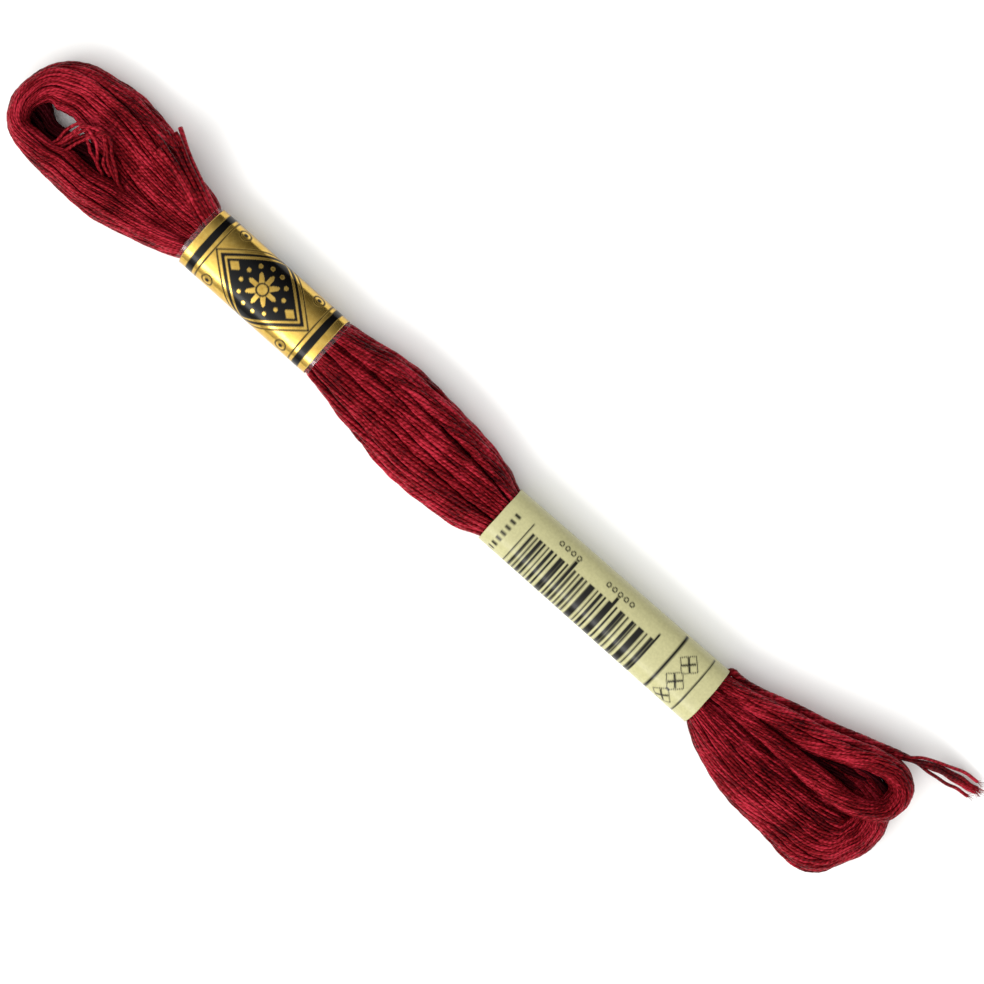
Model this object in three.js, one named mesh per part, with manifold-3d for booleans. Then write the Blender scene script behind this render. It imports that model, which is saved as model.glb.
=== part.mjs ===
// Skein of embroidery floss: one long hank of six-strand thread, wound round and round,
// with two paper bands. Millimetres, +Z up, the hank lies flat along X, its head at -X.
import * as THREE from "three";
import Module from "manifold-3d";

const wasm = await Module();
wasm.setup();

// ---- driving sizes ----
const THREAD_D = 1.2; // one floss thread, six strands laid together
const STRAND_D = 0.55; // one strand of that thread
const RIB_DEPTH = 0.3; // groove between two threads of the hank
const BAND_WALL = 0.5; // sleeve wall, paper plus its lap
const CENTRE_X = -1.48; // middle of the hank's length in the tables below
const CENTRE_Y = -0.4; // and of its width

// ---- the winding, section by section ----
// Each row is one section: x, y of its middle, the way it faces in degrees from +X, half
// width, underside and crown.
const SECTION = ["x", "y", "turn", "half", "under", "crown"];

// The loop round the eye, from the far wall of the eye along the wide leg.
const WIDE_LEG = [
  [-82.97, -1.89, 90, 1.89, 0.0, 7.6],
  [-82.25, 1.65, 45, 2.55, 0.0, 7.3],
  [-80.8, 3.35, 22, 3.4, 0.0, 6.9],
  [-78.6, 4.27, 0, 4.32, 0.0, 6.5],
  [-75.7, 4.1, 0, 4.9, 0.0, 6.3],
  [-73.2, 3.35, 0, 5.85, 0.0, 6.3],
  [-70.2, 3.5, 0, 6.4, 0.0, 6.4],
  [-64.9, 3.1, 0, 6.05, 0.0, 6.6],
  [-59.7, 2.25, 0, 5.25, 0.0, 6.7],
  [-55.3, 1.65, 0, 4.55, 0.2, 6.8],
  [-52.2, 1.3, 0, 3.85, 0.5, 6.7],
  [-50.9, 1.05, 0, 3.05, 0.9, 6.2],
  [-49.5, 0.95, 0, 2.7, 1.1, 5.9],
  [-46.0, 0.9, 0, 2.3, 1.4, 5.7],
];

// The same loop from the far wall of the eye along the narrow leg.
const NARROW_LEG = [
  [-82.97, -1.89, -90, 1.89, 0.0, 7.6],
  [-81.7, -5.0, -45, 1.6, 0.0, 7.6],
  [-80.2, -5.8, -22, 1.85, 0.0, 7.5],
  [-78.6, -6.03, 0, 2.13, 0.0, 7.3],
  [-75.7, -6.1, 0, 2.35, 0.0, 7.0],
  [-72.8, -5.65, 0, 3.0, 0.0, 6.8],
  [-68.4, -5.4, 0, 3.4, 0.0, 6.8],
  [-64.9, -5.3, 0, 3.35, 0.0, 6.8],
  [-59.7, -4.65, 0, 2.8, 0.0, 6.8],
  [-55.3, -3.9, 0, 2.35, 0.2, 6.8],
  [-52.2, -3.1, 0, 1.8, 0.5, 6.6],
  [-50.9, -2.35, 0, 1.4, 1.0, 5.8],
  [-49.5, -2.1, 0, 1.2, 1.3, 5.4],
  [-46.0, -1.9, 0, 1.0, 1.6, 5.0],
];

// The trunk: squeezed in the first band, the belly, squeezed in the second band.
const TRUNK = [
  [-50.9, 0.22, 0, 4.12, 0.9, 6.5],
  [-38.0, 0.22, 0, 4.12, 0.9, 6.5],
  [-26.1, 0.22, 0, 4.12, 0.9, 6.5],
  [-25.5, 0.2, 0, 4.55, 0.6, 6.9],
  [-24.6, 0.15, 0, 5.1, 0.3, 7.3],
  [-22.0, 0.1, 0, 5.5, 0.1, 7.6],
  [-17.8, 0.05, 0, 6.3, 0.0, 7.9],
  [-12.5, -0.22, 0, 6.75, 0.0, 8.1],
  [-7.3, -0.7, 0, 6.95, 0.0, 8.2],
  [-2.0, -0.87, 0, 6.7, 0.0, 8.1],
  [2.2, -0.95, 0, 6.25, 0.0, 7.9],
  [5.4, -1.02, 0, 5.7, 0.1, 7.6],
  [7.1, -1.08, 0, 5.1, 0.3, 7.4],
  [8.0, -1.09, 0, 4.55, 0.6, 7.0],
  [8.6, -1.09, 0, 3.83, 0.9, 6.7],
  [28.0, -0.98, 0, 3.94, 0.9, 6.7],
  [49.3, -0.87, 0, 4.05, 0.9, 6.7],
];

// The tail's lower lobe: the fan below the second band, rounded off at its end.
const LOWER_LOBE = [
  [44.0, -0.9, 0, 3.4, 1.2, 6.2],
  [49.2, -1.25, 0, 3.6, 0.95, 6.5],
  [50.0, -1.6, 0, 4.3, 0.6, 6.9],
  [51.0, -1.9, 0, 4.9, 0.3, 7.0],
  [53.9, -2.2, 0, 5.8, 0.1, 7.0],
  [59.1, -2.6, 0, 7.05, 0.0, 6.9],
  [64.3, -2.6, 0, 7.75, 0.0, 6.8],
  [69.6, -2.1, 0, 8.6, 0.0, 6.6],
  [74.5, -2.0, 0, 9.2, 0.0, 6.4],
  [77.6, -1.7, 0, 8.5, 0.1, 6.1],
  [79.6, -1.3, 0, 6.6, 0.3, 5.6],
  [80.9, -1.1, 0, 4.4, 0.8, 5.0],
  [81.9, -0.9, 0, 1.2, 1.8, 4.0],
];

// The tail's upper lobe: along the upper edge, round the hollow and back over the lower.
const UPPER_LOBE = [
  [44.0, 0.7, 0, 2.2, 1.5, 6.2],
  [49.2, 0.9, 0, 2.0, 1.2, 6.4],
  [51.0, 1.1, 0, 1.65, 0.8, 7.0],
  [53.9, 1.7, 5, 1.8, 0.6, 7.3],
  [59.1, 3.2, 14, 2.1, 0.5, 7.5],
  [64.3, 4.35, 20, 2.0, 0.5, 7.7],
  [69.6, 6.3, 25, 1.75, 0.5, 7.9],
  [73.1, 7.8, 15, 1.7, 0.5, 8.0],
  [76.2, 8.75, -10, 1.7, 0.5, 8.1],
  [78.6, 8.1, -50, 1.7, 0.8, 8.2],
  [79.6, 6.3, -95, 1.65, 1.0, 8.2],
  [79.2, 4.2, -115, 1.65, 1.0, 8.1],
  [77.4, 2.4, -145, 1.7, 1.0, 8.0],
  [74.2, 1.2, -165, 1.7, 1.0, 7.9],
  [69.9, 0.3, -170, 1.6, 1.0, 7.7],
  [65.5, -0.1, -175, 1.4, 1.0, 7.3],
  [62.0, -0.3, -178, 1.1, 1.0, 6.3],
];

// The dark hollow inside the upper lobe: middle, radii.
const HOLLOW = { x: 73.6, y: 5.0, z: 7.6, rx: 3.0, ry: 1.7, rz: 4.2 };

// Ribs over the top and sides of each section, and how wide each is beside its mates.
const LEG_RIBS = [1.1, 0.85, 1.15, 0.9, 1.2, 0.8, 1.05, 0.95, 1.15, 0.85, 1.1];
const TRUNK_RIBS = [1, 1.15, 0.8, 1.1, 0.9, 1.25, 0.85, 1.05, 1.1, 0.8, 1.2, 0.9, 1, 1.1];
const LOBE_RIBS = [1.1, 0.8, 1.2, 0.95, 1.05, 0.9];

// ---- bands: x of both ends, middle y and half width at each end, underside and crown ----
const BAND_ENDS = ["x", "y", "half", "under", "crown"];
const FOIL_BAND = [
  [-50.5, 0.22, 5.02, 0.0, 7.4],
  [-26.2, 0.22, 5.02, 0.0, 7.4],
];
const PALE_BAND = [
  [8.73, -1.09, 4.73, 0.0, 7.6],
  [48.9, -0.87, 4.95, 0.0, 7.6],
];

// ---- loose thread ends ----
// The tail end leaves the second band, lies along the upper edge and runs free.
const TAIL_END = [
  [49.3, 4.15, 4.2],
  [50.4, 4.15, 4.2],
  [52.2, 4.3, 4.2],
  [54.6, 4.88, 4.3],
  [57.0, 5.65, 4.35],
  [59.4, 6.43, 4.4],
  [62.0, 7.13, 4.45],
  [64.6, 7.78, 4.5],
  [67.2, 8.58, 4.55],
  [69.8, 9.53, 4.6],
  [72.2, 10.3, 4.6],
  [74.6, 11.15, 4.55],
  [77.0, 11.95, 4.3],
  [79.2, 12.85, 3.7],
  [81.4, 13.65, 2.8],
  [83.6, 14.2, 1.8],
  [85.6, 14.6, 1.0],
  [87.3, 14.9, 0.75],
];

// Cut strands that fan out of the first band's mouth, from a shared root to their tips.
const FAN = ["tipX", "tipY", "tipZ", "rootY", "rootZ"];
const HEAD_FAN = [
  [-63.1, 9.55, 5.3, 4.4, 6.1],
  [-63.6, 8.25, 5.9, 3.9, 6.5],
  [-63.8, 7.2, 6.45, 3.4, 6.8],
  [-63.4, 6.2, 6.85, 2.9, 7.0],
];
const FAN_ROOT_X = -51.2;
const FAN_ARCH = 0.3;

// A slack loop of strands that crosses the cleft between the legs: x, y, height.
const SLACK_LOOP = [
  [-75.0, -3.8, 4.2],
  [-74.1, -1.7, 4.9],
  [-72.6, 0.6, 5.75],
  [-70.6, 1.5, 6.0],
  [-68.4, 0.6, 5.85],
  [-65.8, -1.0, 5.45],
  [-62.6, -2.5, 4.7],
];
const SLACK_STRANDS = [-0.7, 0, 0.7];

// ---- helpers ----
const named = (names, rows) => rows.map((row) =>
  Object.fromEntries(names.map((name, i) => [name, row[i]])));

// A smooth curve through the rows, every column carried along. Each row is a station,
// and a long gap between two rows is filled with more, at most maxStep apart.
function stationsAlong(rows, names, maxStep) {
  const places = rows.map((row) => new THREE.Vector3(row[0], row[1], 0));
  const curve = new THREE.CatmullRomCurve3(places, false, "centripetal");
  const table = named(names, rows);
  const stations = [];
  const stationAt = (i, blend) => {
    const t = (i + blend) / (rows.length - 1);
    const spot = curve.getPoint(t);
    const here = { x: spot.x, y: spot.y };
    const next = table[Math.min(i + 1, table.length - 1)];
    for (const name of names.slice(2)) {
      here[name] = table[i][name] * (1 - blend) + next[name] * blend;
    }
    return here;
  };
  for (let i = 0; i < rows.length - 1; i += 1) {
    const parts = Math.max(1, Math.ceil(places[i].distanceTo(places[i + 1]) / maxStep));
    for (let k = 0; k < parts; k += 1) stations.push(stationAt(i, k / parts));
  }
  stations.push(stationAt(rows.length - 1, 0));
  return stations;
}

// A section is a superellipse about its waist, rounder above and flatter below. The
// groove pulls it in, and it never goes below its underside.
const POWER_TOP = 2.3;
const POWER_UNDER = 3.6;
const WAIST = 0.42; // the waist's height as a share of the section's
const FOOT_FULLNESS = 1.12; // the lower half swells past the underside, which cuts it flat
function sectionPoint(angle, here, groove) {
  const across = Math.cos(angle);
  const up = Math.sin(angle);
  const power = up > 0 ? POWER_TOP : POWER_UNDER;
  const reach = (Math.abs(across) ** power + Math.abs(up) ** power) ** (-1 / power);
  const waist = here.under + (here.crown - here.under) * WAIST;
  const rise = up > 0 ? here.crown - waist : (waist - here.under) * FOOT_FULLNESS;
  const v = across * reach * (here.half - groove);
  const z = waist + up * reach * (rise - groove);
  return { v, z: Math.max(z, here.under) };
}

// Angles round a section: three columns a rib from the outer foot over the crown, and
// four along the underside, the middle two at the edges of its flat.
const FOOT_ANGLE = -0.42;
const RIB_PROFILE = [[0, 1], [0.3, 0], [0.7, 0]]; // share of the rib, share of the groove
const CROWN_EASE = 0.045; // draws the ribs together over the wide crown
const UNDERSIDE = [-0.85, -1.05, -2.09, -2.29];
function columnsOf(ribs) {
  const whole = ribs.reduce((sum, rib) => sum + rib, 0);
  const sweep = Math.PI - 2 * FOOT_ANGLE;
  const columns = [];
  let done = 0;
  for (const rib of ribs) {
    for (const [share, groove] of RIB_PROFILE) {
      const way = (done + rib * share) / whole;
      const eased = way + CROWN_EASE * Math.sin(2 * Math.PI * way);
      columns.push({ angle: FOOT_ANGLE + sweep * eased, groove });
    }
    done += rib;
  }
  columns.push({ angle: FOOT_ANGLE + sweep, groove: 1 });
  for (const angle of [...UNDERSIDE].reverse()) {
    columns.push({ angle: 2 * Math.PI + angle, groove: 0 });
  }
  return columns;
}

// A closed mesh from rings of points, capped at both ends by a fan on the first point.
function ringsToSolid(rings, flip) {
  const size = rings[0].length;
  const points = rings.flat();
  const faces = [];
  const add = (a, b, c) => faces.push(flip ? [a, c, b] : [a, b, c]);
  for (let r = 0; r < rings.length - 1; r += 1) {
    for (let k = 0; k < size; k += 1) {
      const a = r * size + k;
      const b = r * size + ((k + 1) % size);
      add(a, b, b + size);
      add(a, b + size, a + size);
    }
  }
  const last = (rings.length - 1) * size;
  const mid = (ring) => ring.reduce((sum, p) => sum.map((s, i) => s + p[i] / size), [0, 0, 0]);
  const near = points.push(mid(rings[0])) - 1;
  const far = points.push(mid(rings[rings.length - 1])) - 1;
  for (let k = 0; k < size; k += 1) {
    const next = (k + 1) % size;
    add(near, next, k);
    add(far, last + k, last + next);
  }
  return toManifold(points, faces);
}

function toManifold(points, faces) {
  const mesh = new wasm.Mesh({
    numProp: 3,
    vertProperties: new Float32Array(points.flat()),
    triVerts: new Uint32Array(faces.flat()),
  });
  return new wasm.Manifold(mesh);
}

// One ribbed body carried along its rows. side is +1 where the outer side lies to the
// left of the way along the rows, and -1 where it lies to the right.
const MAX_STEP = 5; // longest run between two rings
function ribbedBody(rows, ribs, side, depthAt) {
  const columns = columnsOf(ribs);
  const rings = stationsAlong(rows, SECTION, MAX_STEP).map((here) => {
    const outX = -Math.sin(THREE.MathUtils.degToRad(here.turn)) * side;
    const outY = Math.cos(THREE.MathUtils.degToRad(here.turn)) * side;
    const depth = depthAt(here);
    return columns.map(({ angle, groove }) => {
      const { v, z } = sectionPoint(angle, here, groove * depth);
      return [here.x + outX * v, here.y + outY * v, z];
    });
  });
  return ringsToSolid(rings, side < 0);
}

// Rings of a round strand through its points.
function strandRings(points, radiusAt, steps, sides) {
  const curve = new THREE.CatmullRomCurve3(
    points.map((p) => new THREE.Vector3(...p)), false, "centripetal");
  const up = new THREE.Vector3(0, 0, 1);
  const rings = [];
  for (let n = 0; n <= steps; n += 1) {
    const share = n / steps;
    const spot = curve.getPointAt(share);
    const along = curve.getTangentAt(share);
    const across = new THREE.Vector3().crossVectors(up, along).normalize();
    const over = new THREE.Vector3().crossVectors(along, across);
    const ring = [];
    for (let k = 0; k < sides; k += 1) {
      const angle = (2 * Math.PI * k) / sides;
      const out = across.clone().multiplyScalar(Math.cos(angle));
      out.addScaledVector(over, Math.sin(angle)).multiplyScalar(radiusAt(share));
      ring.push(spot.clone().add(out).toArray());
    }
    rings.push(ring);
  }
  return rings;
}

// ---- the hank ----
const evenDepth = () => RIB_DEPTH;
// The grooves close up inside the bands, where the paper presses the threads flat.
const PRESSED_HALF = 4.3;
const FREE_HALF = 5.1;
const PRESSED_SHARE = 0.25;
const trunkDepth = ({ half }) => {
  const freed = (half - PRESSED_HALF) / (FREE_HALF - PRESSED_HALF);
  return THREE.MathUtils.clamp(freed, PRESSED_SHARE, 1) * RIB_DEPTH;
};

const SLACK_SKEW = 0.6; // each strand of the slack loop steps aside along both axes
const SLACK_STEPS = 12;
const SLACK_SIDES = 6;
const slackLoop = SLACK_STRANDS.map((shift) => {
  const points = SLACK_LOOP.map(([x, y, z]) => [x + shift, y + shift * SLACK_SKEW, z]);
  return ringsToSolid(strandRings(points, () => STRAND_D, SLACK_STEPS, SLACK_SIDES), false);
});
const bodies = [
  ribbedBody(WIDE_LEG, LEG_RIBS, 1, evenDepth),
  ribbedBody(NARROW_LEG, LEG_RIBS, -1, evenDepth),
  ribbedBody(TRUNK, TRUNK_RIBS, 1, trunkDepth),
  ribbedBody(LOWER_LOBE, TRUNK_RIBS, -1, evenDepth),
  ribbedBody(UPPER_LOBE, LOBE_RIBS, 1, evenDepth),
  ...slackLoop,
];

// A smooth ball pressed into the upper lobe makes its hollow.
const BALL_ROUNDS = 8;
const BALL_SIDES = 14;
function ballSolid({ x, y, z, rx, ry, rz }) {
  const rings = [];
  for (let n = 1; n < BALL_ROUNDS; n += 1) {
    const tilt = (Math.PI * n) / BALL_ROUNDS;
    const ring = [];
    for (let k = 0; k < BALL_SIDES; k += 1) {
      const angle = (2 * Math.PI * k) / BALL_SIDES;
      ring.push([
        x + rx * Math.sin(tilt) * Math.cos(angle),
        y + ry * Math.sin(tilt) * Math.sin(angle),
        z - rz * Math.cos(tilt),
      ]);
    }
    rings.push(ring);
  }
  return ringsToSolid(rings, false);
}
const joined = bodies.reduce((whole, body) => whole.add(body));
const hank = joined.subtract(ballSolid(HOLLOW));

// ---- the bands ----
const BAND_POWER = 2.6;
const BAND_SIDES = 44;
const BAND_FULLNESS = 1.05; // the sleeve's lower half, as FOOT_FULLNESS is the hank's
function bandRing(end, inset) {
  const waist = (end.under + end.crown) / 2;
  const ring = [];
  for (let k = 0; k < BAND_SIDES; k += 1) {
    const angle = (2 * Math.PI * (k + 0.5)) / BAND_SIDES;
    const across = Math.cos(angle);
    const up = Math.sin(angle);
    const power = up > 0 ? BAND_POWER : POWER_UNDER;
    const reach = (Math.abs(across) ** power + Math.abs(up) ** power) ** (-1 / power);
    const tall = up > 0 ? end.crown - waist : (waist - end.under) * BAND_FULLNESS;
    const y = end.y + across * reach * (end.half - inset);
    const z = waist + up * reach * (tall - inset);
    ring.push([end.x, y, Math.max(z, end.under + inset)]);
  }
  return ring;
}

// A sleeve: the outer skin, the inner skin and the two ring ends between them.
function sleeve(rows) {
  const [near, far] = named(BAND_ENDS, rows);
  const rings = [
    bandRing(near, 0), bandRing(far, 0), bandRing(far, BAND_WALL), bandRing(near, BAND_WALL),
  ];
  const faces = [];
  for (let r = 0; r < rings.length; r += 1) {
    const next = (r + 1) % rings.length;
    for (let k = 0; k < BAND_SIDES; k += 1) {
      const beside = (k + 1) % BAND_SIDES;
      const a = r * BAND_SIDES + k;
      const b = r * BAND_SIDES + beside;
      const c = next * BAND_SIDES + beside;
      const d = next * BAND_SIDES + k;
      faces.push([a, b, c], [a, c, d]);
    }
  }
  return toManifold(rings.flat(), faces);
}

// ---- the loose ends ----
const CORD_SIDES = 8;
const CORD_STEPS = 18;
function cordTube(rows) {
  const section = new THREE.Shape();
  for (let k = 0; k < CORD_SIDES; k += 1) {
    const angle = (2 * Math.PI * k) / CORD_SIDES;
    const x = (THREAD_D / 2) * Math.cos(angle);
    const y = (THREAD_D / 2) * Math.sin(angle);
    if (k === 0) section.moveTo(x, y);
    else section.lineTo(x, y);
  }
  section.closePath();
  const route = new THREE.CatmullRomCurve3(
    rows.map((row) => new THREE.Vector3(...row)), false, "centripetal");
  return new THREE.ExtrudeGeometry(section, {
    steps: CORD_STEPS, extrudePath: route, bevelEnabled: false,
  });
}

// The fan's strands share a root at the band's mouth and taper towards their cut tips.
const FAN_STEPS = 7;
const FAN_SIDES = 6;
const FAN_SHARES = [0, 0.35, 0.7, 1];
const ROOT_SWELL = 0.5; // how much thicker a strand is at its root, as a share
const fanStrands = named(FAN, HEAD_FAN).map(({ tipX, tipY, tipZ, rootY, rootZ }) => {
  const points = FAN_SHARES.map((share) => [
    FAN_ROOT_X + (tipX - FAN_ROOT_X) * share,
    rootY + (tipY - rootY) * share,
    rootZ + (tipZ - rootZ) * share + FAN_ARCH * Math.sin(Math.PI * share),
  ]);
  const radiusAt = (share) => (STRAND_D / 2) * (1 + ROOT_SWELL * (1 - share));
  return ringsToSolid(strandRings(points, radiusAt, FAN_STEPS, FAN_SIDES), false);
});

// ---- the finished group ----
function toGeometry(solid) {
  const { vertProperties, triVerts } = solid.getMesh();
  const geometry = new THREE.BufferGeometry();
  geometry.setAttribute("position", new THREE.BufferAttribute(vertProperties, 3));
  geometry.setIndex(new THREE.BufferAttribute(triVerts, 1));
  return geometry;
}

const cotton = new THREE.MeshStandardMaterial({
  name: "dyed_cotton", color: 0x9a1530, roughness: 0.75,
});
const foilPaper = new THREE.MeshStandardMaterial({
  name: "gold_foil_paper", color: 0xb8993f, roughness: 0.3, metalness: 0.6,
});
const palePaper = new THREE.MeshStandardMaterial({
  name: "pale_paper", color: 0xd8d796, roughness: 0.6,
});

const group = new THREE.Group();
group.name = "floss_skein";
function addPiece(name, geometry, material) {
  geometry.translate(-CENTRE_X, -CENTRE_Y, 0);
  const mesh = new THREE.Mesh(geometry, material);
  mesh.name = name;
  group.add(mesh);
}
addPiece("hank", toGeometry(hank), cotton);
addPiece("foil_band", toGeometry(sleeve(FOIL_BAND)), foilPaper);
addPiece("pale_band", toGeometry(sleeve(PALE_BAND)), palePaper);
addPiece("tail_end", cordTube(TAIL_END), cotton);
addPiece("head_end", toGeometry(fanStrands.reduce((whole, one) => whole.add(one))), cotton);

export default group;
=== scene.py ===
"""Skein of embroidery floss: a long hank of six-strand cotton thread in two paper bands.

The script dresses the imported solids. It is laid out as an add-on: settings, one operator
for each piece or group of like pieces, one for the stage, and one panel.
Lengths in the tables are in millimetres, in the part's own axes. The scene is in metres.
"""
import math

import bpy
import numpy as np
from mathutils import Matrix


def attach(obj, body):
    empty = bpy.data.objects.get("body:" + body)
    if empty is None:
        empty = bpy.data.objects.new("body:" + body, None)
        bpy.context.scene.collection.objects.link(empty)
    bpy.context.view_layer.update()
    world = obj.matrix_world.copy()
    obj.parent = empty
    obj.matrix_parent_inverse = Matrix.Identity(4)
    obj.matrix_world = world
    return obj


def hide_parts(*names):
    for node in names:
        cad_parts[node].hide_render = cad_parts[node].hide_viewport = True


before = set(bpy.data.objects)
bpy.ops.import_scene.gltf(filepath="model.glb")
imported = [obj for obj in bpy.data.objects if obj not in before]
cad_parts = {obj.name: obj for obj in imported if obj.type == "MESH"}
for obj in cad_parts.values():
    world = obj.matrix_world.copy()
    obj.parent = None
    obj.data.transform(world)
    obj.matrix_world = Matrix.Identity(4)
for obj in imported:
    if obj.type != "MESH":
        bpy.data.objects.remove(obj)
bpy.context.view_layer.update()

bl_info = {
    "name": "Embroidery floss skein",
    "version": (1, 0, 0),
    "blender": (4, 5, 0),
    "location": "View3D > Sidebar > Floss",
    "description": "Winds the threads of a floss skein and fits its two bands",
    "category": "Object",
}

MM = 0.001
MIDDLE = np.array([-1.48, -0.40, 0.0])  # middle of the skein in the axes of the tables
UP = np.array([0.0, 0.0, 1.0])

# ---- the winding, section by section ----
# x and y of the middle of a section, the way its outer side faces in degrees from +X,
# half width, underside and crown. The sections follow the solids of the frame, and fill
# the bands up to their paper.
HEAD_LOOP = [
    (-46.0, 1.35, 90, 3.10, 0.3, 6.8),
    (-50.3, 1.40, 90, 3.15, 0.3, 7.0),
    (-51.2, 1.45, 90, 3.50, 0.25, 7.1),
    (-52.2, 1.50, 90, 3.95, 0.2, 6.95),
    (-55.3, 1.65, 90, 4.55, 0.1, 6.8),
    (-59.7, 2.25, 90, 5.25, 0.0, 6.7),
    (-64.9, 3.35, 90, 5.70, 0.0, 6.6),
    (-68.2, 4.15, 90, 5.35, 0.0, 6.5),
    (-71.0, 4.55, 90, 5.10, 0.0, 6.4),
    (-73.8, 4.70, 90, 4.72, 0.0, 6.3),
    (-76.2, 4.80, 90, 4.28, 0.0, 6.35),
    (-78.6, 4.27, 90, 4.32, 0.0, 6.5),
    (-80.8, 3.35, 112, 3.40, 0.0, 6.9),
    (-82.25, 1.65, 135, 2.55, 0.0, 7.3),
    (-82.97, -1.89, 180, 1.89, 0.0, 7.6),
    (-81.7, -5.00, 225, 1.60, 0.0, 7.6),
    (-80.2, -5.80, 248, 1.85, 0.0, 7.5),
    (-78.6, -6.03, 270, 2.13, 0.0, 7.3),
    (-75.7, -6.10, 270, 2.35, 0.0, 7.0),
    (-72.8, -5.65, 270, 3.00, 0.0, 6.8),
    (-68.4, -5.75, 270, 3.00, 0.0, 6.8),
    (-64.9, -5.30, 270, 3.35, 0.0, 6.8),
    (-59.7, -4.65, 270, 2.80, 0.0, 6.8),
    (-55.3, -3.90, 270, 2.35, 0.1, 6.8),
    (-52.2, -3.15, 270, 1.95, 0.2, 6.9),
    (-51.2, -2.80, 270, 1.80, 0.25, 7.0),
    (-50.3, -2.55, 270, 1.65, 0.3, 6.9),
    (-46.0, -2.45, 270, 1.60, 0.3, 6.7),
]
BELLY = [
    (-31.0, 0.22, 90, 4.50, 0.2, 6.9),
    (-26.6, 0.22, 90, 4.60, 0.2, 7.05),
    (-25.7, 0.20, 90, 4.90, 0.15, 7.2),
    (-24.6, 0.15, 90, 5.15, 0.1, 7.35),
    (-22.0, 0.10, 90, 5.50, 0.05, 7.6),
    (-17.8, 0.05, 90, 6.30, 0.0, 7.9),
    (-12.5, -0.22, 90, 6.75, 0.0, 8.1),
    (-7.3, -0.70, 90, 6.95, 0.0, 8.2),
    (-2.0, -0.87, 90, 6.70, 0.0, 8.1),
    (2.2, -0.95, 90, 6.25, 0.0, 7.9),
    (5.4, -1.02, 90, 5.70, 0.05, 7.6),
    (7.1, -1.08, 90, 5.10, 0.1, 7.45),
    (8.3, -1.09, 90, 4.60, 0.15, 7.35),
    (9.1, -1.09, 90, 4.35, 0.2, 7.25),
    (13.0, -1.09, 90, 4.25, 0.2, 7.1),
]
# The upper lobe: out along the upper edge, round the hollow and back into the band.
UPPER_LOBE = [
    (44.0, 2.00, 90, 1.30, 0.3, 6.7),
    (48.5, 2.10, 90, 1.35, 0.3, 6.9),
    (49.6, 2.25, 90, 1.40, 0.4, 7.1),
    (51.0, 2.40, 90, 1.60, 0.4, 7.35),
    (53.9, 2.85, 95, 1.80, 0.4, 7.4),
    (59.1, 4.00, 104, 2.15, 0.4, 7.5),
    (64.3, 5.10, 110, 2.45, 0.4, 7.7),
    (69.6, 7.05, 112, 2.20, 0.4, 7.9),
    (73.1, 8.50, 102, 2.00, 0.4, 8.0),
    (76.2, 9.05, 78, 1.90, 0.4, 8.1),
    (78.6, 8.25, 40, 1.80, 0.6, 8.2),
    (79.6, 6.30, -5, 1.65, 1.0, 8.2),
    (79.3, 4.20, -25, 1.65, 1.0, 8.1),
    (77.4, 2.40, -55, 1.70, 1.0, 8.0),
    (74.2, 1.20, -75, 1.70, 1.0, 7.9),
    (69.9, 0.85, -82, 1.90, 0.8, 7.7),
    (65.5, 0.70, -88, 1.75, 0.6, 7.5),
    (59.1, 0.60, -90, 1.50, 0.4, 7.3),
    (53.9, 0.35, -90, 1.30, 0.3, 7.2),
    (51.0, 0.25, -90, 1.20, 0.3, 7.15),
    (48.9, 0.20, -90, 1.20, 0.3, 7.1),
    (44.0, 0.20, -90, 1.20, 0.3, 7.1),
]
# The lower lobe: out along the lower edge, round the end and back low under the upper
# lobe, where it floors the hollow.
LOWER_LOBE = [
    (44.0, -2.95, 270, 2.35, 0.2, 6.8),
    (48.6, -3.00, 270, 2.40, 0.2, 7.0),
    (50.0, -3.25, 270, 2.85, 0.15, 7.1),
    (51.0, -3.50, 270, 3.25, 0.1, 7.0),
    (53.9, -4.15, 270, 4.00, 0.0, 7.0),
    (59.1, -5.10, 270, 4.70, 0.0, 6.9),
    (64.3, -5.50, 270, 5.00, 0.0, 6.8),
    (69.6, -5.70, 270, 5.10, 0.0, 6.6),
    (73.0, -5.85, 270, 5.35, 0.0, 6.4),
    (75.0, -5.65, 272, 5.50, 0.0, 6.3),
    (76.7, -4.95, 284, 5.00, 0.0, 6.2),
    (77.8, -3.00, 307, 3.80, 0.0, 6.1),
    (78.6, -1.20, 338, 3.35, 0.0, 6.0),
    (78.7, 0.40, 360, 3.20, 0.0, 5.8),
    (78.2, 2.20, 390, 3.00, 0.0, 5.3),
    (76.6, 3.60, 420, 2.60, 0.0, 3.9),
    (74.0, 4.40, 445, 2.20, 0.0, 2.9),
    (70.0, 4.20, 450, 2.00, 0.0, 2.4),
    (64.0, 3.00, 460, 1.50, 0.0, 2.2),
]
# Threads that lie deep in the hollow of the upper lobe, and deep in the head's cleft. They take the
# darker floss colours, painted shade.
HOLLOW_THREADS = [
    (60.0, 2.50, 90, 1.20, 0.1, 2.6),
    (66.0, 3.60, 90, 2.00, 0.1, 2.7),
    (71.0, 4.80, 90, 2.80, 0.1, 2.8),
    (75.0, 5.40, 90, 3.00, 0.1, 2.9),
    (77.8, 5.20, 90, 2.60, 0.1, 2.9),
    (79.3, 4.80, 90, 1.70, 0.4, 2.6),
]
CLEFT_THREADS = [
    (-82.8, -1.90, 90, 1.90, 0.4, 3.0),
    (-81.0, -1.95, 90, 2.35, 0.1, 3.0),
    (-79.4, -2.35, 90, 1.95, 0.1, 3.0),
    (-77.8, -2.95, 90, 1.60, 0.1, 3.0),
    (-75.0, -2.70, 90, 1.75, 0.1, 3.2),
    (-71.5, -2.00, 90, 1.80, 0.1, 3.4),
    (-67.0, -2.20, 90, 1.50, 0.1, 3.6),
    (-62.5, -2.40, 90, 1.20, 0.1, 3.8),
    (-58.0, -2.30, 90, 0.90, 0.3, 4.0),
]

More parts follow.
